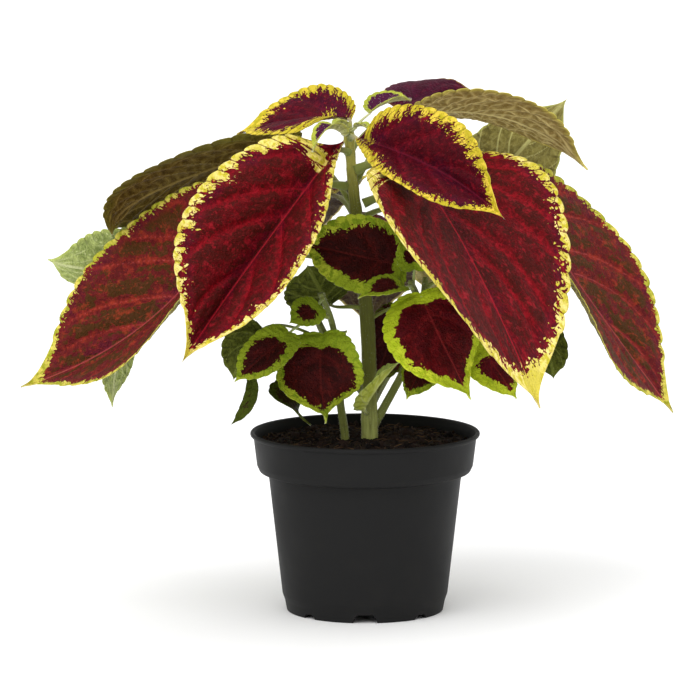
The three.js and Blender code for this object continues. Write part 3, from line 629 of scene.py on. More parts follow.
class LeafShader(Shader):
    """The skin of a blade, coloured by where a place lies between its veins, its ribs and its margin."""

    def __init__(self, name, look):
        super().__init__(name)
        self.look = look
        self.tone = {key: srgb(*look[key]) for key in ("deep", "fleck", "haze", "vein", "rib")}
        self.bright, self.dark = (srgb(*c) for c in look["centre"])
        self.light_margin, self.deep_margin = (srgb(*c) for c in look["margin"])
        self.plain, self.patch = (srgb(*c) for c in look["under"])
        for key in LEAF_VALUES:
            setattr(self, key, self.value(key))
        self.flat = self.vector(self.along, self.across, self.seed)
        self.fibre = self.vector(self.row, self.times(self.across, 0.8), self.seed)
        self.mottle = self.noise(self.flat, 0.32, 4.0, 0.62)
        self.cloud = self.noise(self.fibre, 0.13, 3.0, 0.55)
        self.tint = self.noise(self.flat, 0.05)
        self.grain = self.noise(self.flat, 1.1, 3.0, 0.6)
        self.mesh = self.wiggles(self.flat, 0.4)

    def centre(self):
        """Mottled in two tones under a haze, deep blotches, light flecks and the veins."""
        both = self.plus(self.times(self.mottle, 0.6), self.times(self.cloud, 0.4))
        fresh = self.ramp(self.noise(self.flat, 0.15, 4.0, 0.65), 0.54, 0.68, 0.0, 0.5)
        fresh = self.times(fresh, self.ramp(self.row, 20.0, 60.0, 0.3, 1.0))
        streak = self.ramp(self.noise(self.fibre, 0.7, 2.0, 0.6), 0.58, 0.7, 0.0, 0.4)
        return self.coats(
            self.mix(self.ramp(both, 0.42, 0.58), self.dark, self.bright),
            (self.haze(), self.tone["haze"]),
            (self.blotches(), self.tone["deep"]),
            (fresh, self.tone["fleck"]),
            (self.glow(), self.tone["fleck"]),
            (self.ramp(self.grain, 0.54, 0.7, 0.0, 0.4), self.tone["deep"]),
            (streak, self.tone["fleck"]),
            (self.vein_lines(), self.tone["vein"]),
        )

    def haze(self):
        """A purple haze over the leaf's foot, along the midrib and beside the margin."""
        width = self.look["width"]
        foot = self.ramp(self.row, 8.0, 60.0, 0.95, 0.0)
        inner = self.most(self.ramp(self.rib, 1.0, 12.0, 0.4, 0.0), foot)
        outer = self.ramp(self.edge, width + 1.0, width + 9.0, 0.5, 0.0)
        return self.times(self.most(inner, outer), self.ramp(self.tint, 0.36, 0.6, 0.35, 1.0))

    def blotches(self):
        """Deep blotches, mostly between the side veins and away from the margin."""
        width = self.look["width"]
        field = self.plus(self.times(self.cloud, 40.0), self.times(self.mottle, 26.0))
        field = self.plus(self.times(self.least(self.vein, 6.0), 1.5), self.minus(field, 33.0))
        blotch = self.ramp(field, 6.2, 9.4, 0.0, self.look["blotches"])
        return self.times(blotch, self.ramp(self.edge, width + 1.0, width + 7.0, 0.15, 1.0))

    def glow(self):
        """A light stripe along each side vein, which comes and goes."""
        stripe = self.ramp(self.vein, 0.2, self.look["reach"], self.look["glow"], 0.0)
        stripe = self.times(stripe, self.ramp(self.tint, 0.4, 0.58, 0.1, 1.0))
        return self.times(stripe, self.ramp(self.mottle, 0.35, 0.6, 0.5, 1.0))

    def vein_lines(self):
        """Side veins and their net, faint beside the margin, and the midrib, faint at the foot."""
        width = self.look["width"]
        side = self.ramp(self.vein, 0.1, 1.0, self.look["veins"], 0.0)
        net = self.ramp(self.wiggles(self.flat, 0.14), 0.0, 0.022, self.look["net"], 0.0)
        side = self.times(self.most(side, net), self.ramp(self.edge, width, width + 9.0, 0.2, 1.0))
        middle = self.ramp(self.rib, 0.1, 0.9, 0.75, 0.0)
        return self.most(side, self.times(middle, self.ramp(self.row, 8.0, 60.0, 0.35, 1.0)))

    def margin(self):
        """Two tones, the deeper one at the leaf's foot, partly painted shade there, with the centre's dark
        between the scallops, partly painted shadow in the notches.
        """
        shade = self.ramp(self.noise(self.flat, 0.3, 3.0), 0.4, 0.62)
        # The margin turns deeper towards the leaf's foot: partly its own deeper tone, partly painted shade
        # near the stem.
        shade = self.most(shade, self.ramp(self.row, 6.0, 60.0, 0.9, 0.0))
        shade = self.most(shade, self.ramp(self.tint, 0.48, 0.6, 0.0, 0.8))
        # slit: the centre's dark along the notches between the scallops, partly their own dark line, partly
        # painted shadow in the creases.
        slit = self.ramp(self.notch, 0.1, 0.7, self.look["slit"], 0.0)
        slit = self.times(slit, self.ramp(self.edge, 1.0, 5.0, 1.0, 0.5))
        return self.coats(
            self.mix(shade, self.light_margin, self.deep_margin),
            (self.ramp(self.grain, 0.56, 0.7, 0.0, 0.35), dimmed(self.deep_margin, 0.5)),
            (slit, tuple(0.7 * a + 0.15 * b for a, b in zip(self.dark, self.deep_margin))),
        )

    def margin_share(self):
        """1 where the margin shows. Towards the centre it breaks into cells, which shrink to islands."""
        width, ragged, cell = (self.look[key] for key in ("width", "ragged", "cell"))
        warp = self.times(self.noise(self.flat, 0.32, 1.0), 2.6)
        inward = self.times(self.minus(self.edge, warp), self.look["stretch"])
        spot = self.vector(self.plus(self.round, warp), inward, self.seed)
        wall = self.cell_wall(spot, 1 / cell)
        slow = self.centred(self.noise(self.flat, 0.045, 1.0), width * 2.4)
        lobes = self.centred(self.noise(spot, 0.3, 1.0), ragged * 1.6)
        jitter = self.centred(self.cell_tone(spot, 1 / cell), ragged * 1.6)
        near_foot = self.plus(self.along, self.times(self.rib, 0.8))
        foot = self.ramp(near_foot, 3.0, 24.0, width * self.look["foot"], 0.0)
        tip = self.ramp(self.share, 0.8, 1.0, 0.0, width * 1.1)
        ends = self.minus(foot, tip)
        depth = self.plus(self.plus(self.edge, slow), self.plus(self.plus(lobes, jitter), ends))
        pits = self.ramp(self.noise(self.flat, 0.75, 1.0), 0.6, 0.7, 0.0, ragged)
        pits = self.times(pits, self.ramp(self.edge, 1.2, 2.4))
        between = self.ramp(self.notch, 0.0, 1.5, self.look["slit"] * width * 0.7, 0.0)
        depth = self.plus(depth, self.most(between, pits))
        shrink = self.times(self.minus(depth, width - ragged * 0.6), 0.24 / ragged)
        shrink = self.plus(shrink, self.ramp(shrink, 0.05, 0.15, -0.3, 0.0))
        return self.ramp(self.minus(wall, shrink), -0.03, 0.05)

    def underside(self):
        """Dull, with raised veins, their cross veins and a fine mesh, paler partly as painted highlight on
        the ridges, with painted shade in the hollows between them and in the creases at the notches, and a
        pale rim, painted light where it is wide.
        """
        ribs, rungs = self.look["ribs"], self.look["rungs"]
        hollow_shade = self.least(self.ramp(self.cross, 0.2, 1.6), self.ramp(self.rung, 0.2, 1.4))
        lines = self.most(self.ramp(self.vein, 0.3, 1.0, 0.75, 0.0), self.ramp(self.rib, 0.6, 1.6, 0.9, 0.0))
        lines = self.most(lines, self.ramp(self.cross, 0.1, 0.7, 0.7 * ribs, 0.0))
        lines = self.most(lines, self.ramp(self.rung, 0.1, 0.6, rungs, 0.0))
        lines = self.most(lines, self.ramp(self.mesh, 0.0, 0.03, 0.15, 0.0))
        # Painted shade in the creases between the scallops, only near the margin.
        crease_shade = self.ramp(self.notch, 0.1, 0.9, 0.6, 0.0)
        crease_shade = self.minus(crease_shade, self.times(crease_shade, self.ramp(self.edge, 2.0, 9.0)))
        return self.coats(
            self.mix(self.ramp(self.mottle, 0.35, 0.66), self.plain, self.patch),
            (self.ramp(self.cloud, 0.45, 0.7, 0.0, 0.45), self.patch),
            # painted shade in the hollows between the veins and rungs, stronger with the look's ribs
            (self.times(hollow_shade, 0.4 * ribs), dimmed(self.patch, 0.6)),
            # the veins in the rib tone: partly their own pale colour, partly painted highlight on the raised
            # ridges
            (lines, self.tone["rib"]),
            # the pale rim: the margin's light tone at the edge, and on the olive look a wide band of painted
            # light on the curled margin
            (self.ramp(self.edge, 0.3, self.look["rim"], 0.6, 0.0), self.light_margin),
            (crease_shade, dimmed(self.patch, 0.5)),
        )


def leaf_material(name, look):
    s = LeafShader(name, look)
    upper = s.mix(s.margin_share(), s.centre(), s.margin())
    colour = s.mix(s.ramp(s.top, 0.35, 0.65), s.underside(), upper)
    relief = s.plus(s.ramp(s.mesh, 0.0, 0.08), s.times(s.noise(s.flat, 0.9, 3.0, 0.6), 1.1))
    s.bump(relief, 0.00035, 0.8)
    return s.finish(colour, s.ramp(s.grain, 0.3, 0.7, 0.5, 0.68), Specular_IOR_Level=0.08)


def stem_material(name, low, high, top):
    """Stem colour from its foot (low) to its tip (top), with length-wise streaks."""
    s = Shader(name)
    height, around = s.value("height"), s.value("around")
    low, high, top = (srgb(*tone) for tone in (low, high, top))
    streak = s.noise(s.vector(s.times(around, 3.0), s.times(height, 0.05)), 1.6, 3.0, 0.6)
    blotch = s.noise(s.position(), 160.0, 3.0, 0.6)
    colour = s.coats(
        low,
        (s.ramp(height, 92.0, 130.0), high),
        (s.ramp(height, 205.0, 238.0), top),
        (s.ramp(streak, 0.35, 0.75, 0.0, 0.55), dimmed(high, 0.42)),
        (s.ramp(blotch, 0.62, 0.72, 0.0, 0.35), srgb(96, 72, 40)),
    )
    s.bump(s.plus(streak, s.times(blotch, 0.4)), 0.0004, 0.8)
    return s.finish(colour, 0.55, Specular_IOR_Level=0.35, Sheen_Weight=0.15)


def petiole_material(name, look):
    """Petioles take the tone of the leaf's ribs, darker towards the stem."""
    s = Shader(name)
    share = s.value("along")
    streak = s.noise(s.vector(0.0, share), 1.1)
    colour = s.coats(
        srgb(132, 142, 58),
        (s.ramp(share, 0.0, 1.0), srgb(*look["rib"])),
        (s.ramp(streak, 0.4, 0.75, 0.0, 0.5), srgb(*look["under"][1])),
    )
    s.bump(streak, 0.0003, 0.6)
    return s.finish(colour, 0.55, Specular_IOR_Level=0.35, Sheen_Weight=0.2)


def hair_material():
    s = Shader("plant_hair")
    tone = s.noise(s.position(), 300.0)
    return s.finish(s.mix(tone, srgb(206, 208, 170), srgb(238, 236, 214)), 0.5, Sheen_Weight=0.4)


def pot_material():
    """Dull black plastic with a fine grain, faint lines and scratches round it, and dust at its foot."""
    s = Shader("pot_plastic")
    place = s.position()
    x, y, z = s.parts(place)
    level = s.vector(s.times(x, 0.05), s.times(y, 0.05), z)
    grain = s.noise(place, 2600.0, 2.0, 0.6)
    cloud = s.noise(place, 26.0, 3.0, 0.6)
    lines = s.noise(level, 900.0)
    scratch = s.ramp(s.noise(level, 420.0, 4.0, 0.75), 0.66, 0.74)
    dust = s.times(s.ramp(cloud, 0.5, 0.75), s.ramp(z, 0.0, 0.095, 0.5, 0.15))
    colour = s.coats(
        srgb(28, 28, 28), (dust, srgb(37, 36, 35)), (s.times(scratch, 0.2), srgb(48, 48, 48)),
    )
    s.bump(s.plus(s.times(grain, 0.5), s.times(lines, 0.5)), 0.00008, 0.7)
    return s.finish(colour, s.ramp(cloud, 0.3, 0.7, 0.5, 0.62), Specular_IOR_Level=0.1)


def soil_material():
    s = Shader("soil_peat")
    place = s.position()
    lump = s.noise(place, 220.0, 4.0, 0.7)
    crumb = s.noise(place, 1400.0, 3.0, 0.7)
    tone = s.plus(s.times(lump, 0.6), s.times(s.value("tone"), 0.5))
    colour = s.coats(
        srgb(12, 7, 6), (s.ramp(tone, 0.3, 0.72), srgb(42, 28, 23)),
        (s.ramp(crumb, 0.63, 0.73, 0.0, 0.75), srgb(112, 88, 74)),
    )
    s.bump(s.plus(lump, crumb), 0.0006, 1.0)
    return s.finish(colour, 0.92, Specular_IOR_Level=0.2)


def fibre_material():
    s = Shader("soil_fibre")
    tone = s.value("tone")
    colour = s.mix(tone, srgb(34, 22, 15), srgb(92, 68, 46))
    return s.finish(colour, 0.85, Specular_IOR_Level=0.2)


# ---------------------------------------------------------------- curves of the plant

def catmull_rom(points, t):
    """A centripetal Catmull-Rom curve through points, at the places t in 0..1."""
    p = np.array(points, float)
    p = np.concatenate([[2 * p[0] - p[1]], p, [2 * p[-1] - p[-2]]])
    spans = len(p) - 3
    place = np.clip(np.asarray(t, float) * spans, 0, spans)
    i = np.minimum(place.astype(int), spans - 1)
    w = (place - i)[:, None]
    p0, p1, p2, p3 = p[i], p[i + 1], p[i + 2], p[i + 3]
    gap = [np.sqrt(np.linalg.norm(b - a, axis=1))[:, None] for a, b in ((p0, p1), (p1, p2), (p2, p3))]
    m1 = (p1 - p0) / gap[0] - (p2 - p0) / (gap[0] + gap[1]) + (p2 - p1) / gap[1]
    m2 = (p2 - p1) / gap[1] - (p3 - p1) / (gap[1] + gap[2]) + (p3 - p2) / gap[2]
    m1, m2 = m1 * gap[1], m2 * gap[1]
    return p1 + m1 * w + (3 * (p2 - p1) - 2 * m1 - m2) * w**2 + (2 * (p1 - p2) + m1 + m2) * w**3


def stem_at(name, height):
    """The middle of a stem at a height, and its radius there."""
    line = catmull_rom(STEMS[name]["points"], np.linspace(0, 1, 600))
    nearest = np.argmin(np.abs(line[:, 2] - height))
    low, high = STEMS[name]["radii"]
    return line[nearest], low + (high - low) * (nearest / 599)


class Blade:
    """The curved surface of one leaf: a midrib, and two halves that rise and curl each in its own way."""

    def __init__(self, spec):
        self.stem, self.height, self.look, self.width, self.teeth, rib, self.lift, self.curl = spec[:8]
        extra = spec[8] if len(spec) > 8 else {}
        self.face = extra.get("face", UP)
        self.feet = extra.get("foot", (FOOT, FOOT))
        self.drip = extra.get("drip", DRIP_TIP)
        self.base, middle, self.tip = (np.array(p, float) for p in rib)
        self.control = 2 * middle - 0.5 * (self.base + self.tip)
        line = self.rib_point(np.linspace(0, 1, 200))
        self.length = np.linalg.norm(np.diff(line, axis=0), axis=1).sum()

    def rib_point(self, t):
        t = np.asarray(t, float)[..., None]
        return (1 - t) ** 2 * self.base + 2 * t * (1 - t) * self.control + t**2 * self.tip

    def rib_tangent(self, t):
        t = np.asarray(t, float)[..., None]
        return unit((1 - t) * (self.control - self.base) + t * (self.tip - self.control))

    def outline(self, s, side):
        """Where a vein leaves the midrib, where it meets the margin, and the half width, as shares."""
        left, right = self.feet
        start, turn, lobe = (np.where(side < 0, a, b) for a, b in zip(left, right))
        half = np.pi * s / 2
        along = np.sin(half) ** 2
        widest = turn / (turn + OUTLINE_TIP)
        peak = widest ** (turn / 2) * (1 - widest) ** (OUTLINE_TIP / 2)
        oval = np.sin(half) ** turn * np.maximum(np.cos(half), 0) ** OUTLINE_TIP / peak
        spread = oval * (1 - np.exp(-(((1 - along) / self.drip) ** DRIP_POWER)))
        vein = along * (1 - VEIN_SWEEP * 4 * along * (1 - along))
        return vein, start + (1 - start) * (along - lobe * spread * (1 - along) ** 4), spread

    def tooth(self, s):
        """How far the scallops stand out of the margin at s."""
        height = min(TOOTH_BASE, self.width / 40) + self.width * TOOTH_HEIGHT
        place = (s - TOOTH_START) / (TOOTH_END - TOOTH_START) * self.teeth
        inside = (place > 0) & (place < self.teeth)
        share = np.clip(place - np.floor(place), 0, 1) ** TOOTH_SKEW
        fade = 1 - 0.4 * np.clip(place / self.teeth, 0, 1)
        return np.where(inside, height * fade * (1 - np.abs(2 * share - 1) ** 2.4), 0.0)

    def flat(self, s, share):
        """Place along the midrib as a share of it, and signed distance from it. share is -1..1."""
        vein, margin, spread = self.outline(s, share)
        half = self.width / 2
        reach = np.abs(share)
        grown = self.tooth(s) * np.minimum(1, 2 * spread) / np.maximum(spread * half, 0.5)
        reach = reach * (1 + grown * smoothstep(0.7, 1.0, reach))
        return vein + (margin - vein) * reach, np.sign(share) * spread * half * reach

    def point(self, along, across, lift):
        """A point of the blade, lift above the middle of its thickness, and the upper face's direction."""
        station = np.clip(along, 0, 1)
        tangent = self.rib_tangent(station)
        point = self.rib_point(station) + tangent * ((along - station) * self.length)[..., None]
        side = unit(np.cross(tangent, np.array(self.face, float)))
        normal = np.cross(side, tangent)
        left = across < 0
        rise = np.radians(np.where(left, self.lift[0] + self.curl[0] / 2, self.lift[1] + self.curl[1] / 2))
        bend = np.radians(np.where(left, self.curl[0], self.curl[1])) / (self.width / 2)
        sign = np.where(left, -1.0, 1.0)
        distance = np.abs(across)
        angle = rise - bend * distance
        out = (np.sin(rise) - np.sin(angle)) / bend
        up = (np.cos(angle) - np.cos(rise)) / bend
        upper = side * (-sign * np.sin(angle))[..., None] + normal * np.cos(angle)[..., None]
        rises = [math.radians(a + c / 2) for a, c in zip(self.lift, self.curl)]
        roll = (rises[1] - rises[0]) / 2
        fold = -math.sin(roll) * side + math.cos(roll) * normal
        near = falloff(distance, 1.6)[..., None]
        upper = unit(fold * near + upper * (1 - near))
        point = point + side * (sign * out)[..., None] + normal * up[..., None]
        return point + upper * lift[..., None], upper


def wavy(x, y, seed, scale):
    """Smooth repeatable noise over a plane, mostly from -1 to 1: seven crossed waves."""
    random = np.random.default_rng(seed)
    total = np.zeros(np.broadcast(x, y).shape)
    for _ in range(7):
        angle, phase = random.uniform(0, 2 * np.pi, 2)
        step = random.uniform(0.6, 1.5) * 2 * np.pi / scale
        total += np.sin((x * math.cos(angle) + y * math.sin(angle)) * step + phase)
    return total / 4.5


# ---------------------------------------------------------------- leaves

MANY_VEINS = ("khaki", "olive", "pale", "moss")  # looks seen from below, with their veins close together
SMALL_LIME = 40  # lime leaves narrower than this have a narrower margin
CROSS_VEINS = (0.36, 0.68)  # where the fine lengthwise veins run, as shares of the half width
OTHER_HALF = 300.0  # added to the place round the margin on the left half, so that the halves differ
NO_NOTCH = 50.0  # added to the distance from a notch where the margin has no scallops
YOUNG_FUR = 260  # hairs on the faces of a young leaf
PETIOLE, LEAF_HAIR = 1, 2  # material numbers beside the blade's 0
FINE_HAIRS = dict(lengths=(0.3, 0.7), thickness=0.035, material=LEAF_HAIR)
PETIOLE_HAIRS = dict(sway=0.25, lengths=(0.5, 1.1), thickness=0.045, material=LEAF_HAIR)
FUR = dict(sway=0.5, lengths=(0.7, 1.6), thickness=0.05, material=LEAF_HAIR)
HAIR_DEPTH = 0.05  # how deep hairs stand in a blade


class LeafGrid:
    """Rows and columns of points on a blade, and how far each is from the veins, ribs and notches."""

    def __init__(self, blade, number):
        per_tooth, tail, columns = (8, 34, 26) if blade.width > LARGE_LEAF else (6, 18, 13)
        steps = blade.teeth * per_tooth
        toothed = TOOTH_START + (TOOTH_END - TOOTH_START) * np.arange(steps + 1) / steps
        s = np.concatenate([[0.006, 0.018, 0.03], toothed, np.linspace(TOOTH_END, 0.994, tail + 1)[1:]])
        half = 1 - (1 - np.linspace(0, 1, columns + 1)) ** 1.25
        self.s, self.side = np.meshgrid(s, np.concatenate([-half[:0:-1], half]), indexing="ij")
        self.along, self.across = blade.flat(self.s, self.side)
        self.x = self.along * blade.length
        self.distance = np.abs(self.side)
        self.spread = blade.outline(self.s, self.side)[2]
        middle, _ = blade.point(self.along, self.across, np.zeros_like(self.along))
        self.pace = np.linalg.norm(np.gradient(middle, s, axis=0), axis=2)
        self.rib = np.abs(self.across)
        self.vein = self.from_side_veins(blade)
        self.cross, self.rung = self.from_fine_veins(blade, number)
        self.notch = self.from_notches(blade)

    def from_side_veins(self, blade):
        """Distance on the surface from the nearest side vein. Side veins arch towards the tip."""
        veins = 8 if blade.look in MANY_VEINS else max(4, int(round(3 + blade.width / 26)))
        arched = self.s - 0.11 * self.distance - 0.08 * self.distance**2
        nearest = np.full_like(self.along, 1e3)
        for k in range(veins):
            shift = 0.015 if k % 2 else -0.01
            place = 0.03 + 0.76 * k / (veins - 1) + np.where(self.side < 0, shift, -shift)
            nearest = np.minimum(nearest, np.abs(arched - place) * self.pace)
        return nearest

    def from_fine_veins(self, blade, number):
        """Distances from the fine lengthwise veins and from the rungs between them."""
        reach = self.spread * blade.width / 2
        bent = self.distance + 0.018 * np.sin(self.s * 55 + number)
        lengthwise = np.min([np.abs(bent - share) for share in CROSS_VEINS], axis=0) * reach
        gap = max(2.4, 0.062 * blade.width)
        wave = 0.3 * np.sin(self.distance * 13 + self.s * 9 + number)
        step = (self.s * blade.length + 4.0 * self.distance) / gap + wave
        return lengthwise, np.abs(step - np.round(step)) * gap

    def from_notches(self, blade):
        """Distance along the margin from the nearest notch between two scallops."""
        place = (self.s - TOOTH_START) / (TOOTH_END - TOOTH_START) * blade.teeth
        pitch = (TOOTH_END - TOOTH_START) / blade.teeth
        nearest = np.abs(place - np.round(place)) * pitch * self.pace
        return nearest + np.where((place < 0.5) | (place > blade.teeth - 0.5), NO_NOTCH, 0.0)

    def from_margin(self, blade):
        """Distance from the margin, which counts as more on small lime leaves."""
        border = np.concatenate([np.stack([self.x[:, i], self.across[:, i]], 1) for i in (0, -1)])
        tree = KDTree(len(border))
        for i, (x, y) in enumerate(border):
            tree.insert((x, y, 0), i)
        tree.balance()
        places = zip(self.x.ravel(), self.across.ravel())
        nearest = np.array([tree.find((x, y, 0))[2] for x, y in places])
        if blade.look.startswith("lime") and blade.width < SMALL_LIME:
            nearest = nearest * (SMALL_LIME / blade.width) ** 0.7
        return nearest

    def round_margin(self):
        """How far each row lies along the margin, counted apart on the two halves."""
        border = np.stack([self.x[:, -1], self.across[:, -1]], 1)
        steps = np.linalg.norm(np.diff(border, axis=0), axis=1)
        place = np.concatenate([[0], np.cumsum(steps)])[:, None] * np.ones(self.s.shape[1])[None]
        return place + OTHER_HALF * (self.side < 0)

    def values(self, blade, number):
        """What the vertices of the upper and then the lower face carry."""
        fields = dict(
            along=self.x, across=self.across, row=self.s * blade.length, share=self.s,
            round=self.round_margin(), edge=self.from_margin(blade), vein=self.vein, cross=self.cross,
            rung=self.rung, notch=self.notch, rib=self.rib,
        )
        both = {key: np.tile(field.ravel(), 2) for key, field in fields.items()}
        return dict(both, top=np.repeat([1.0, 0.0], self.s.size), seed=float(number * 13))


def leaf_relief(blade, grid, number):
    """Heights of the upper and the lower face over the middle of the blade."""
    size = min(1.0, blade.width / 80)
    distance, vein, cross, rung = grid.distance, grid.vein, grid.cross, grid.rung
    broad = np.minimum(1, 2 * grid.spread)

    # The quilt: pillows between the veins and in the scallops, with small waves over them.
    swell = 1.5 * size * (1 - falloff(vein, 4.6 * size + 0.8))
    inside = smoothstep(0.0, 0.3, distance) * (1 - smoothstep(0.72, 1.0, distance))
    swell *= inside * np.minimum(1, 2.2 * grid.spread)
    quilt = np.maximum(falloff(cross, 1.3), 0.8 * falloff(rung, 1.0))
    swell -= 0.42 * size * quilt * smoothstep(0.04, 0.2, distance) * (1 - smoothstep(0.9, 1.0, distance))
    swell += 0.55 * size * (1 - falloff(grid.notch, 1.1)) * smoothstep(0.8, 0.97, distance)
    swell += 0.16 * size * wavy(grid.x, grid.across, number * 7 + 1, 7.0) * np.minimum(1, distance * 4)
    if blade.look.startswith("lime"):
        swell += 0.22 * wavy(grid.x, grid.across, number * 7 + 2, 3.4) * np.minimum(1, distance * 3)

    # The margin's ruffle, the valleys above the veins and the ribs below them.
    phase = grid.s * (16 + number % 5) + number * 1.7 + np.sign(grid.side) * 1.1
    ruffle = 1.1 * size * distance**3 * np.sin(phase) * broad
    valley = 0.35 * size * falloff(vein, 0.9) + 0.5 * size * falloff(grid.rib, 1.3)
    thick = BLADE * (1 - 0.45 * distance**3)
    top_lift = thick / 2 + swell + ruffle - valley * 0.6
    rib_height = min(1.1, blade.width / 40) * falloff(grid.rib, 1.1) * (1 - grid.s)
    vein_height = 0.42 * size * falloff(vein, 0.7) * (1 - 0.7 * distance)
    cross_height = 0.3 * size * falloff(cross, 0.5) * broad
    cross_height += 0.22 * size * falloff(rung, 0.5) * broad * (1 - distance**4)
    low_lift = -thick / 2 + swell + ruffle - rib_height - vein_height - cross_height
    return top_lift, low_lift


def leaf_piece(name, number, materials):
    blade = Blade(LEAVES[name])
    grid = LeafGrid(blade, number)
    top_lift, low_lift = leaf_relief(blade, grid, number)
    upper, _ = blade.point(grid.along, grid.across, top_lift)
    lower, below = blade.point(grid.along, grid.across, low_lift)

    rows, count = grid.s.shape
    total = rows * count
    faces = grid_quads(rows, count)
    border = np.concatenate([
        np.arange(count), np.arange(1, rows) * count + count - 1,
        (rows - 1) * count + np.arange(count - 2, -1, -1), np.arange(rows - 2, 0, -1) * count,
    ])
    following = np.roll(border, -1)
    rim = np.stack([border, border + total, following + total, following], 1)
    points = np.concatenate([upper.reshape(-1, 3), lower.reshape(-1, 3)])
    soup = Soup(LEAF_VALUES)
    soup.add(points, [faces[:, ::-1], faces + total, rim[:, ::-1]], 0, **grid.values(blade, number))

    add_petiole(soup, blade, number)
    add_leaf_hairs(soup, blade, number, upper, lower, below, grid.vein)
    return soup.build(name + "_look", materials)


def petiole_groove(angle):
    """The radius factor round a petiole, which has a groove along its upper side."""
    return 1 - 0.16 * falloff(angle - np.pi / 2, 0.5)


def add_petiole(soup, blade, number):
    """The stalk from the stem to the blade, grooved above, with hairs."""
    start, stem_radius = stem_at(blade.stem, blade.height)
    thick = 0.6 + blade.width * 0.012
    target, _ = blade.point(np.array([0.05]), np.array([1e-9]), np.array([-BLADE / 2 - 0.2 * thick]))
    end = target[0]
    span = np.linalg.norm(end - start)
    leave = unit(unit(end - start) + np.array([0, 0, 0.5]))
    p1 = start + leave * span * 0.35
    p2 = end - blade.rib_tangent(np.array(0.0)) * span * 0.3
    t = np.linspace(0, 1, 22)[:, None]
    line = (1 - t) ** 3 * start + 3 * t * (1 - t) ** 2 * p1 + 3 * t**2 * (1 - t) * p2 + t**3 * end
    away = np.linalg.norm(line - start, axis=1)
    line = line[away > 0.6 * stem_radius]
    share = np.linspace(0, 1, len(line))
    radii = thick * (1.15 - 0.5 * share) * (1 + 0.35 * np.exp(-share * 14))
    across, up = add_tube(soup, line, radii, 12, PETIOLE, petiole_groove, along=share)
    random = np.random.default_rng(900 + number)
    count = int(14 + span * 2.2)
    row = random.integers(0, len(line) - 1, count)
    step = random.random(count)[:, None]
    angle = random.uniform(0, 2 * np.pi, count)[:, None]
    out = across[row] * np.cos(angle) + up[row] * np.sin(angle)
    root = line[row] * (1 - step) + line[row + 1] * step + out * radii[row][:, None] * 0.9
    add_hairs(soup, random, root, out, **PETIOLE_HAIRS)


def add_leaf_hairs(soup, blade, number, upper, lower, below, vein_distance):
    """Short hairs on the margin and along the ribs below, and fur on both faces of a young leaf."""
    random = np.random.default_rng(40 + number)
    rows, count = vein_distance.shape
    tops, lows, ups = (points.reshape(-1, 3) for points in (upper, lower, below))
    edge_rows = random.integers(4, rows - 3, int(30 + blade.length * 1.6))
    column = np.where(random.random(len(edge_rows)) < 0.5, 0, count - 1)
    inward = np.where(column == 0, 1, -1)
    root = (upper[edge_rows, column] + lower[edge_rows, column]) / 2
    out = unit(root - (upper[edge_rows, column + inward] + lower[edge_rows, column + inward]) / 2)
    add_hairs(soup, random, root - out * HAIR_DEPTH, out, sway=0.35, **FINE_HAIRS)
    if blade.look == "young":
        picked = random.choice(rows * count, YOUNG_FUR, replace=False)
        above, under = np.split(picked, 2)
        root = np.concatenate([tops[above], lows[under]])
        out = np.concatenate([ups[above], -ups[under]])
        add_hairs(soup, random, root - out * HAIR_DEPTH, out, **FUR)
    wanted = int(40 + blade.width * 3.0)
    picked = random.choice(rows * count, min(rows * count, wanted * 6), replace=False)
    on_vein = picked[vein_distance.ravel()[picked] < 0.8][:wanted]
    down = -ups[on_vein]
    add_hairs(soup, random, lows[on_vein] - down * HAIR_DEPTH, down, sway=0.3, **FINE_HAIRS)


# ---------------------------------------------------------------- stems

HAIRS_FROM = 91  # height from which stems have hairs, just above the soil's crown
STEM_HAIRS = dict(sway=0.3, lengths=(0.6, 1.3), thickness=0.05, material=1)
KNOT, KNOT_HEIGHT = 0.05, 3.2  # how much a stem swells where a petiole leaves it, and how far up and down


def square_section(angle):
    """A square stem with rounded ribs at its corners and a groove along each side."""
    box = (np.abs(np.cos(angle)) ** 5 + np.abs(np.sin(angle)) ** 5) ** -0.2
    corner = np.abs(np.sin(2 * angle))
    return 0.86 * box * (0.95 + 0.07 * corner**2)


def stem_piece(name, number, material, hair):
    stem = STEMS[name]
    rows, sides, hairs = (150, 32, 1500) if name == "main" else (90, 20, 500)
    t = np.linspace(0, 1, rows)
    line = catmull_rom(stem["points"], t)
    low, high = stem["radii"]
    radii = low + (high - low) * t
    for spec in LEAVES.values():
        if spec[0] == name:
            radii = radii * (1 + KNOT * falloff(line[:, 2] - spec[1], KNOT_HEIGHT))
    radii = radii * (1 + 0.012 * np.sin(line[:, 2] * 0.9 + number))
    soup = Soup(("height", "around"))
    across, up = add_tube(soup, line, radii, sides, 0, square_section, height=line[:, 2])

    random = np.random.default_rng(70 + number)
    row = random.integers(0, rows - 1, hairs)
    row = row[line[row, 2] > HAIRS_FROM]
    count = len(row)
    angle = random.uniform(0, 2 * np.pi, count)
    out = across[row] * np.cos(angle)[:, None] + up[row] * np.sin(angle)[:, None]
    reach = radii[row] * square_section(angle)
    root = line[row] + out * (reach * 0.97)[:, None]
    root += (line[row + 1] - line[row]) * random.random(count)[:, None]
    add_hairs(soup, random, root, out, **STEM_HAIRS, height=line[row, 2])
    return soup.build(stem["node"] + "_look", [material, hair])


# ---------------------------------------------------------------- pot and soil

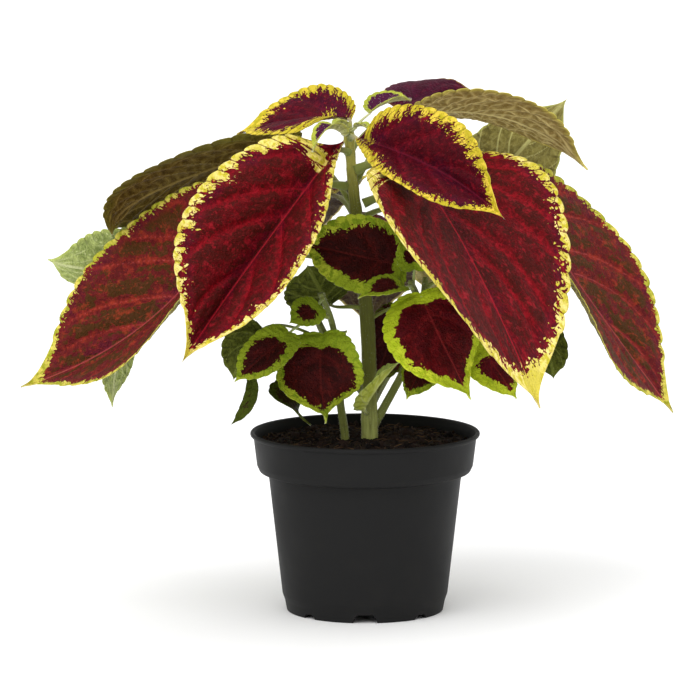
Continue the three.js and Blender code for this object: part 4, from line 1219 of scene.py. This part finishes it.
POT_OUTER = [
    (40.9, 0), (41.9, 5.4), (43.2, 9), (50, 68.5), (50.6, 72.2),
    (55, 73.6), (56.4, 76.6), (58.2, 91.4), (59.8, 92.2), (60, 93.4), (59.2, 94.4),
]
POT_INNER = [
    (57.6, 93.6), (56.9, 90.5), (55.2, 77.4), (54.2, 75.2), (49.6, 74), (48.8, 69), (42, 9.2), (40.6, 3.8),
]
POT_FOOT_INSIDE = 38.3
POT_FLOOR_UNDER = 2.6
POT_FLOOR_TOP = 3.8
POT_ROUNDING = 0.55  # how far a rounded corner reaches from where the corner was
POT_SEGMENTS = 180
SHARP_FROM = math.radians(38)  # edges of the pot that bend less than this are shaded smooth
NOTCHES = 8
FRONT_NOTCH = (14, 4.4)  # width and height
SIDE_NOTCH = (9, 2.4)
NOTCH_DEPTH = 16
NOTCH_MIDDLE = POT_OUTER[0][0] - 4  # its distance from the axis
NOTCH_TAPER = (0.68, 1.1)  # width above and below, as shares of its own
NOTCH_ROUNDING = 0.8


def rounded(profile, reach):
    """A profile with each corner cut by a short curve."""
    points = [np.array(p, float) for p in profile]
    out = [points[0]]
    for before, corner, after in zip(points, points[1:], points[2:]):
        a = corner + unit(before - corner) * min(reach, np.linalg.norm(before - corner) / 2.5)
        b = corner + unit(after - corner) * min(reach, np.linalg.norm(after - corner) / 2.5)
        for t in (0, 0.25, 0.5, 0.75, 1):
            out.append((1 - t) ** 2 * a + 2 * t * (1 - t) * corner + t**2 * b)
    out.append(points[-1])
    return np.array(out)


def lathe(profile, segments):
    """Points and faces of a closed body turned round the axis. The profile starts and ends on the axis."""
    ring = profile[1:-1]
    angle = 2 * np.pi * np.arange(segments) / segments
    r, a = np.meshgrid(ring[:, 0], angle, indexing="ij")
    z = np.repeat(ring[:, 1], segments).reshape(r.shape)
    points = np.stack([r * np.cos(a), r * np.sin(a), z], 2).reshape(-1, 3)
    ends = np.array([[0, 0, profile[0][1]], [0, 0, profile[-1][1]]])
    return np.concatenate([points, ends]), capped(len(ring), segments)


def notch_cutter():
    """Blocks that stand where the foot's notches are, narrower upwards, with rounded upper corners."""
    cutters = bmesh.new()
    for i in range(NOTCHES):
        width, height = FRONT_NOTCH if i == 0 else SIDE_NOTCH
        made = bmesh.ops.create_cube(cutters, size=1)["verts"]
        bmesh.ops.scale(cutters, verts=made, vec=(width * MM, NOTCH_DEPTH * MM, 2 * height * MM))
        for v in made:
            v.co.x *= NOTCH_TAPER[0 if v.co.z > 0 else 1]
        bmesh.ops.translate(cutters, verts=made, vec=(0, -NOTCH_MIDDLE * MM, 0))
        turn = 2 * math.pi * i / NOTCHES
        for v in made:
            x, y = v.co.x, v.co.y
            v.co.x = x * math.cos(turn) - y * math.sin(turn) + POT_AXIS[0]
            v.co.y = x * math.sin(turn) + y * math.cos(turn) + POT_AXIS[1]
    upper = []
    for edge in cutters.edges:
        start, end = (v.co for v in edge.verts)
        if abs((start - end).normalized().z) < 0.1 and start.z > 0:
            upper.append(edge)
    bmesh.ops.bevel(cutters, geom=upper, offset=NOTCH_ROUNDING * MM, segments=3, affect="EDGES")
    mesh = bpy.data.meshes.new("notch_cutter")
    cutters.to_mesh(mesh)
    cutters.free()
    cutter = bpy.data.objects.new("notch_cutter", mesh)
    bpy.context.scene.collection.objects.link(cutter)
    return cutter


def pot_piece(material):
    wall = rounded([(POT_FOOT_INSIDE, 0), *POT_OUTER, *POT_INNER], POT_ROUNDING)
    profile = np.array([(0, POT_FLOOR_UNDER), (POT_FOOT_INSIDE, POT_FLOOR_UNDER), *wall, (0, POT_FLOOR_TOP)])
    soup = Soup()
    points, faces = lathe(profile, POT_SEGMENTS)
    soup.add(points, faces)
    pot = soup.build("pot_look", [material])
    cutter = notch_cutter()
    modifier = pot.modifiers.new("notches", "BOOLEAN")
    modifier.object = cutter
    modifier.operation = "DIFFERENCE"
    modifier.solver = "EXACT"
    bpy.context.view_layer.update()
    evaluated = pot.evaluated_get(bpy.context.evaluated_depsgraph_get())
    cut = bpy.data.meshes.new_from_object(evaluated)
    pot.modifiers.clear()
    pot.data = cut
    bpy.data.objects.remove(cutter)
    shaper = bmesh.new()
    shaper.from_mesh(pot.data)
    for edge in shaper.edges:
        edge.smooth = edge.calc_face_angle(0.0) < SHARP_FROM
    shaper.to_mesh(pot.data)
    shaper.free()
    return pot


SOIL_RIM = 55.9  # radius of the peat at its crown's edge
SOIL_RINGS, SOIL_SECTORS = 78, 240
SOIL_GAP, SOIL_FLOOR_GAP = 0.35, 0.3  # between the peat and the pot's wall, and its floor
SOIL_WALL_TOP = 86
SOIL_LEVEL = 88
DOME, DOME_HEIGHT = 52, 2.6  # radius and height of the crown's dome
SOIL_GRAIN = ((0.55, 3, 9.0), (0.4, 4, 4.0), (0.32, 5, 1.9), (0.2, 6, 1.0))  # waves: height, seed, width
CRUMBS, CRUMB_REACH = 760, 55.0
CRUMB_SIZES = (0.5, 0.8, 1.3, 2.0)
CRUMB_SHARES = (0.3, 0.38, 0.24, 0.08)
FIBRES, FIBRE_REACH = 300, 54.0


def soil_height(x, y):
    r = np.hypot(x, y)
    dome = SOIL_LEVEL + DOME_HEIGHT * np.cos(np.minimum(r / DOME, 1) * 1.4)
    crown = np.where(r < DOME, dome, SOIL_LEVEL + 0.4 - (r - DOME) * 0.08)
    grain = sum(height * wavy(x, y, seed, width) for height, seed, width in SOIL_GRAIN)
    return crown + grain * (1 - 0.6 * smoothstep(50, 56, r))


def add_peat(soup):
    """The peat: a domed crown, a wall just inside the pot's and a flat bottom."""
    angle = 2 * np.pi * np.arange(SOIL_SECTORS) / SOIL_SECTORS
    r, a = np.meshgrid(np.linspace(0.7, SOIL_RIM, SOIL_RINGS), angle, indexing="ij")
    x, y = r * np.cos(a), r * np.sin(a)
    top = np.stack([x, y, soil_height(x, y)], 2)
    wall = [(r - SOIL_GAP, z + SOIL_FLOOR_GAP) for r, z in POT_INNER if z < SOIL_WALL_TOP]
    below = np.array([[(r * math.cos(t), r * math.sin(t), z) for t in angle] for r, z in wall])
    body = np.concatenate([top, below]).reshape(-1, 3)
    crown = float(soil_height(np.array(0.0), np.array(0.0)))
    ends = np.array([[0, 0, crown], [0, 0, POT_FLOOR_TOP + SOIL_FLOOR_GAP]])
    faces = capped(len(top) + len(wall), SOIL_SECTORS, flip=True)
    tone = np.concatenate([0.5 + 0.5 * wavy(body[:, 0], body[:, 1], 9, 6.0), [0.5, 0.5]])
    soup.add(np.concatenate([body, ends]), faces, 0, tone=tone)


def add_crumbs(soup, random):
    """Dented lumps of four sizes that lie on the peat."""
    ball = bmesh.new()
    bmesh.ops.create_icosphere(ball, subdivisions=2, radius=1.0)
    shape = np.array([v.co for v in ball.verts])
    sides = np.array([[v.index for v in f.verts] for f in ball.faces])
    ball.free()
    for i in range(CRUMBS):
        size = random.choice(CRUMB_SIZES, p=CRUMB_SHARES) * random.uniform(0.8, 1.2)
        reach = min(CRUMB_REACH * math.sqrt(random.random()), CRUMB_REACH + 0.4 - size)
        t = random.uniform(0, 2 * math.pi)
        x, y = reach * math.cos(t), reach * math.sin(t)
        stretch = random.uniform(0.6, 1.3, 3) * size
        dents = 1 + 0.28 * wavy(shape[:, 0] * 3 + i, shape[:, 1] * 3 + shape[:, 2] * 2, i, 4.0)
        z = float(soil_height(np.array(x), np.array(y)))
        lump = shape * dents[:, None] * stretch + (x, y, z + 0.25 * size)
        soup.add(lump, [sides], 0, tone=random.uniform(0.0, 1.0))


def add_fibres(soup, random):
    """Bowed fibres and slivers of bark, lying flat or standing up a little."""
    steps = np.linspace(-0.5, 0.5, 7)
    for _ in range(FIBRES):
        reach = FIBRE_REACH * math.sqrt(random.random())
        t, heading = random.uniform(0, 2 * math.pi, 2)
        length = random.uniform(2.0, 8.0)
        bow = random.uniform(-0.25, 0.25) * length * (1 - 4 * steps**2)
        x = reach * math.cos(t) + length * steps * math.cos(heading) - bow * math.sin(heading)
        y = reach * math.sin(t) + length * steps * math.sin(heading) + bow * math.cos(heading)
        limit = np.minimum(1, 54.8 / np.maximum(np.hypot(x, y), 1))
        x, y = x * limit, y * limit
        z = soil_height(x, y).max() + 0.15 + (steps + 0.5) * random.uniform(0, 1.8)
        thick = random.uniform(0.12, 0.36) * (1 - 0.9 * np.abs(2 * steps) ** 3)
        tone = np.full(len(steps), random.uniform(0.0, 1.0))
        add_tube(soup, np.stack([x, y, z], 1), np.maximum(thick, 0.04), 5, 1, tone=tone)


def soil_piece(material, fibre):
    random = np.random.default_rng(21)
    soup = Soup(("tone",))
    add_peat(soup)
    add_crumbs(soup, random)
    add_fibres(soup, random)
    return soup.build("soil_look", [material, fibre])


# ---------------------------------------------------------------- the pieces

def settle(piece, node):
    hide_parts(node)
    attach(piece, "root")


hair = hair_material()
leaf_materials = {look: leaf_material("leaf_" + look, values) for look, values in LOOKS.items()}
petiole_materials = {look: petiole_material("petiole_" + look, values) for look, values in LOOKS.items()}
# The main stem's dark middle tone is partly painted shade from the leaves over it.
main_stem = stem_material("stem_main_skin", (176, 182, 98), (104, 106, 20), (182, 176, 76))
side_stem = stem_material("stem_shoot_skin", (140, 146, 72), (116, 124, 54), (150, 160, 90))

settle(pot_piece(pot_material()), "pot")
settle(soil_piece(soil_material(), fibre_material()), "soil")
for number, name in enumerate(STEMS):
    skin = main_stem if name == "main" else side_stem
    settle(stem_piece(name, number, skin, hair), STEMS[name]["node"])
for number, name in enumerate(LEAVES):
    look = LEAVES[name][2]
    leaf = leaf_piece(name, number, [leaf_materials[look], petiole_materials[look], hair])
    settle(leaf, name)

# ---------------------------------------------------------------- floor, light and camera

scene = bpy.context.scene

FLOOR_RADIUS = 14  # metres
floor_angles = np.linspace(0, 2 * math.pi, 97)[:-1]
floor_points = [(FLOOR_RADIUS * math.cos(t), FLOOR_RADIUS * math.sin(t), 0.0) for t in floor_angles]
floor_mesh = bpy.data.meshes.new("floor")
floor_mesh.from_pydata(floor_points, [], [list(range(len(floor_points)))])
floor = bpy.data.objects.new("floor", floor_mesh)
scene.collection.objects.link(floor)
paint = Shader("floor_paint")
floor_mesh.materials.append(paint.finish((0.97, 0.97, 0.97), 0.8))

world = bpy.data.worlds.new("studio")
scene.world = world
world.use_nodes = True
background = world.node_tree.nodes["Background"]
background.inputs["Color"].default_value = (1, 1, 1, 1)
background.inputs["Strength"].default_value = 0.86
scene.view_settings.view_transform = "Standard"


def soft_light(name, direction, strength, spread):
    """Light from a wide panel far away, which falls along direction."""
    lamp = bpy.data.lights.new(name, "SUN")
    lamp.energy = strength
    lamp.angle = math.radians(spread)
    light = bpy.data.objects.new(name, lamp)
    light.location = -Vector(direction)
    light.rotation_euler = Vector(direction).to_track_quat("-Z", "Y").to_euler()
    scene.collection.objects.link(light)


soft_light("key", (0.4, 0.75, -1.0), 1.65, 60)
soft_light("fill", (-0.6, -0.4, -1.0), 0.65, 80)

# The camera looks a little down on the plant, from far away.
ELEVATION = math.radians(8.4)
DISTANCE = 3.0
FRAME_WIDTH = 0.36234  # what the frame spans at the plant
target = Vector((POT_AXIS[0] - 8.9 * MM, POT_AXIS[1], 138 * MM))
lens = bpy.data.cameras.new("camera")
lens.sensor_width = 36
lens.lens = 36 * DISTANCE / FRAME_WIDTH
lens.clip_end = 60
camera = bpy.data.objects.new("camera", lens)
camera.location = target + Vector((0, -DISTANCE * math.cos(ELEVATION), DISTANCE * math.sin(ELEVATION)))
camera.rotation_euler = (math.pi / 2 - ELEVATION, 0, 0)
scene.collection.objects.link(camera)
scene.camera = camera
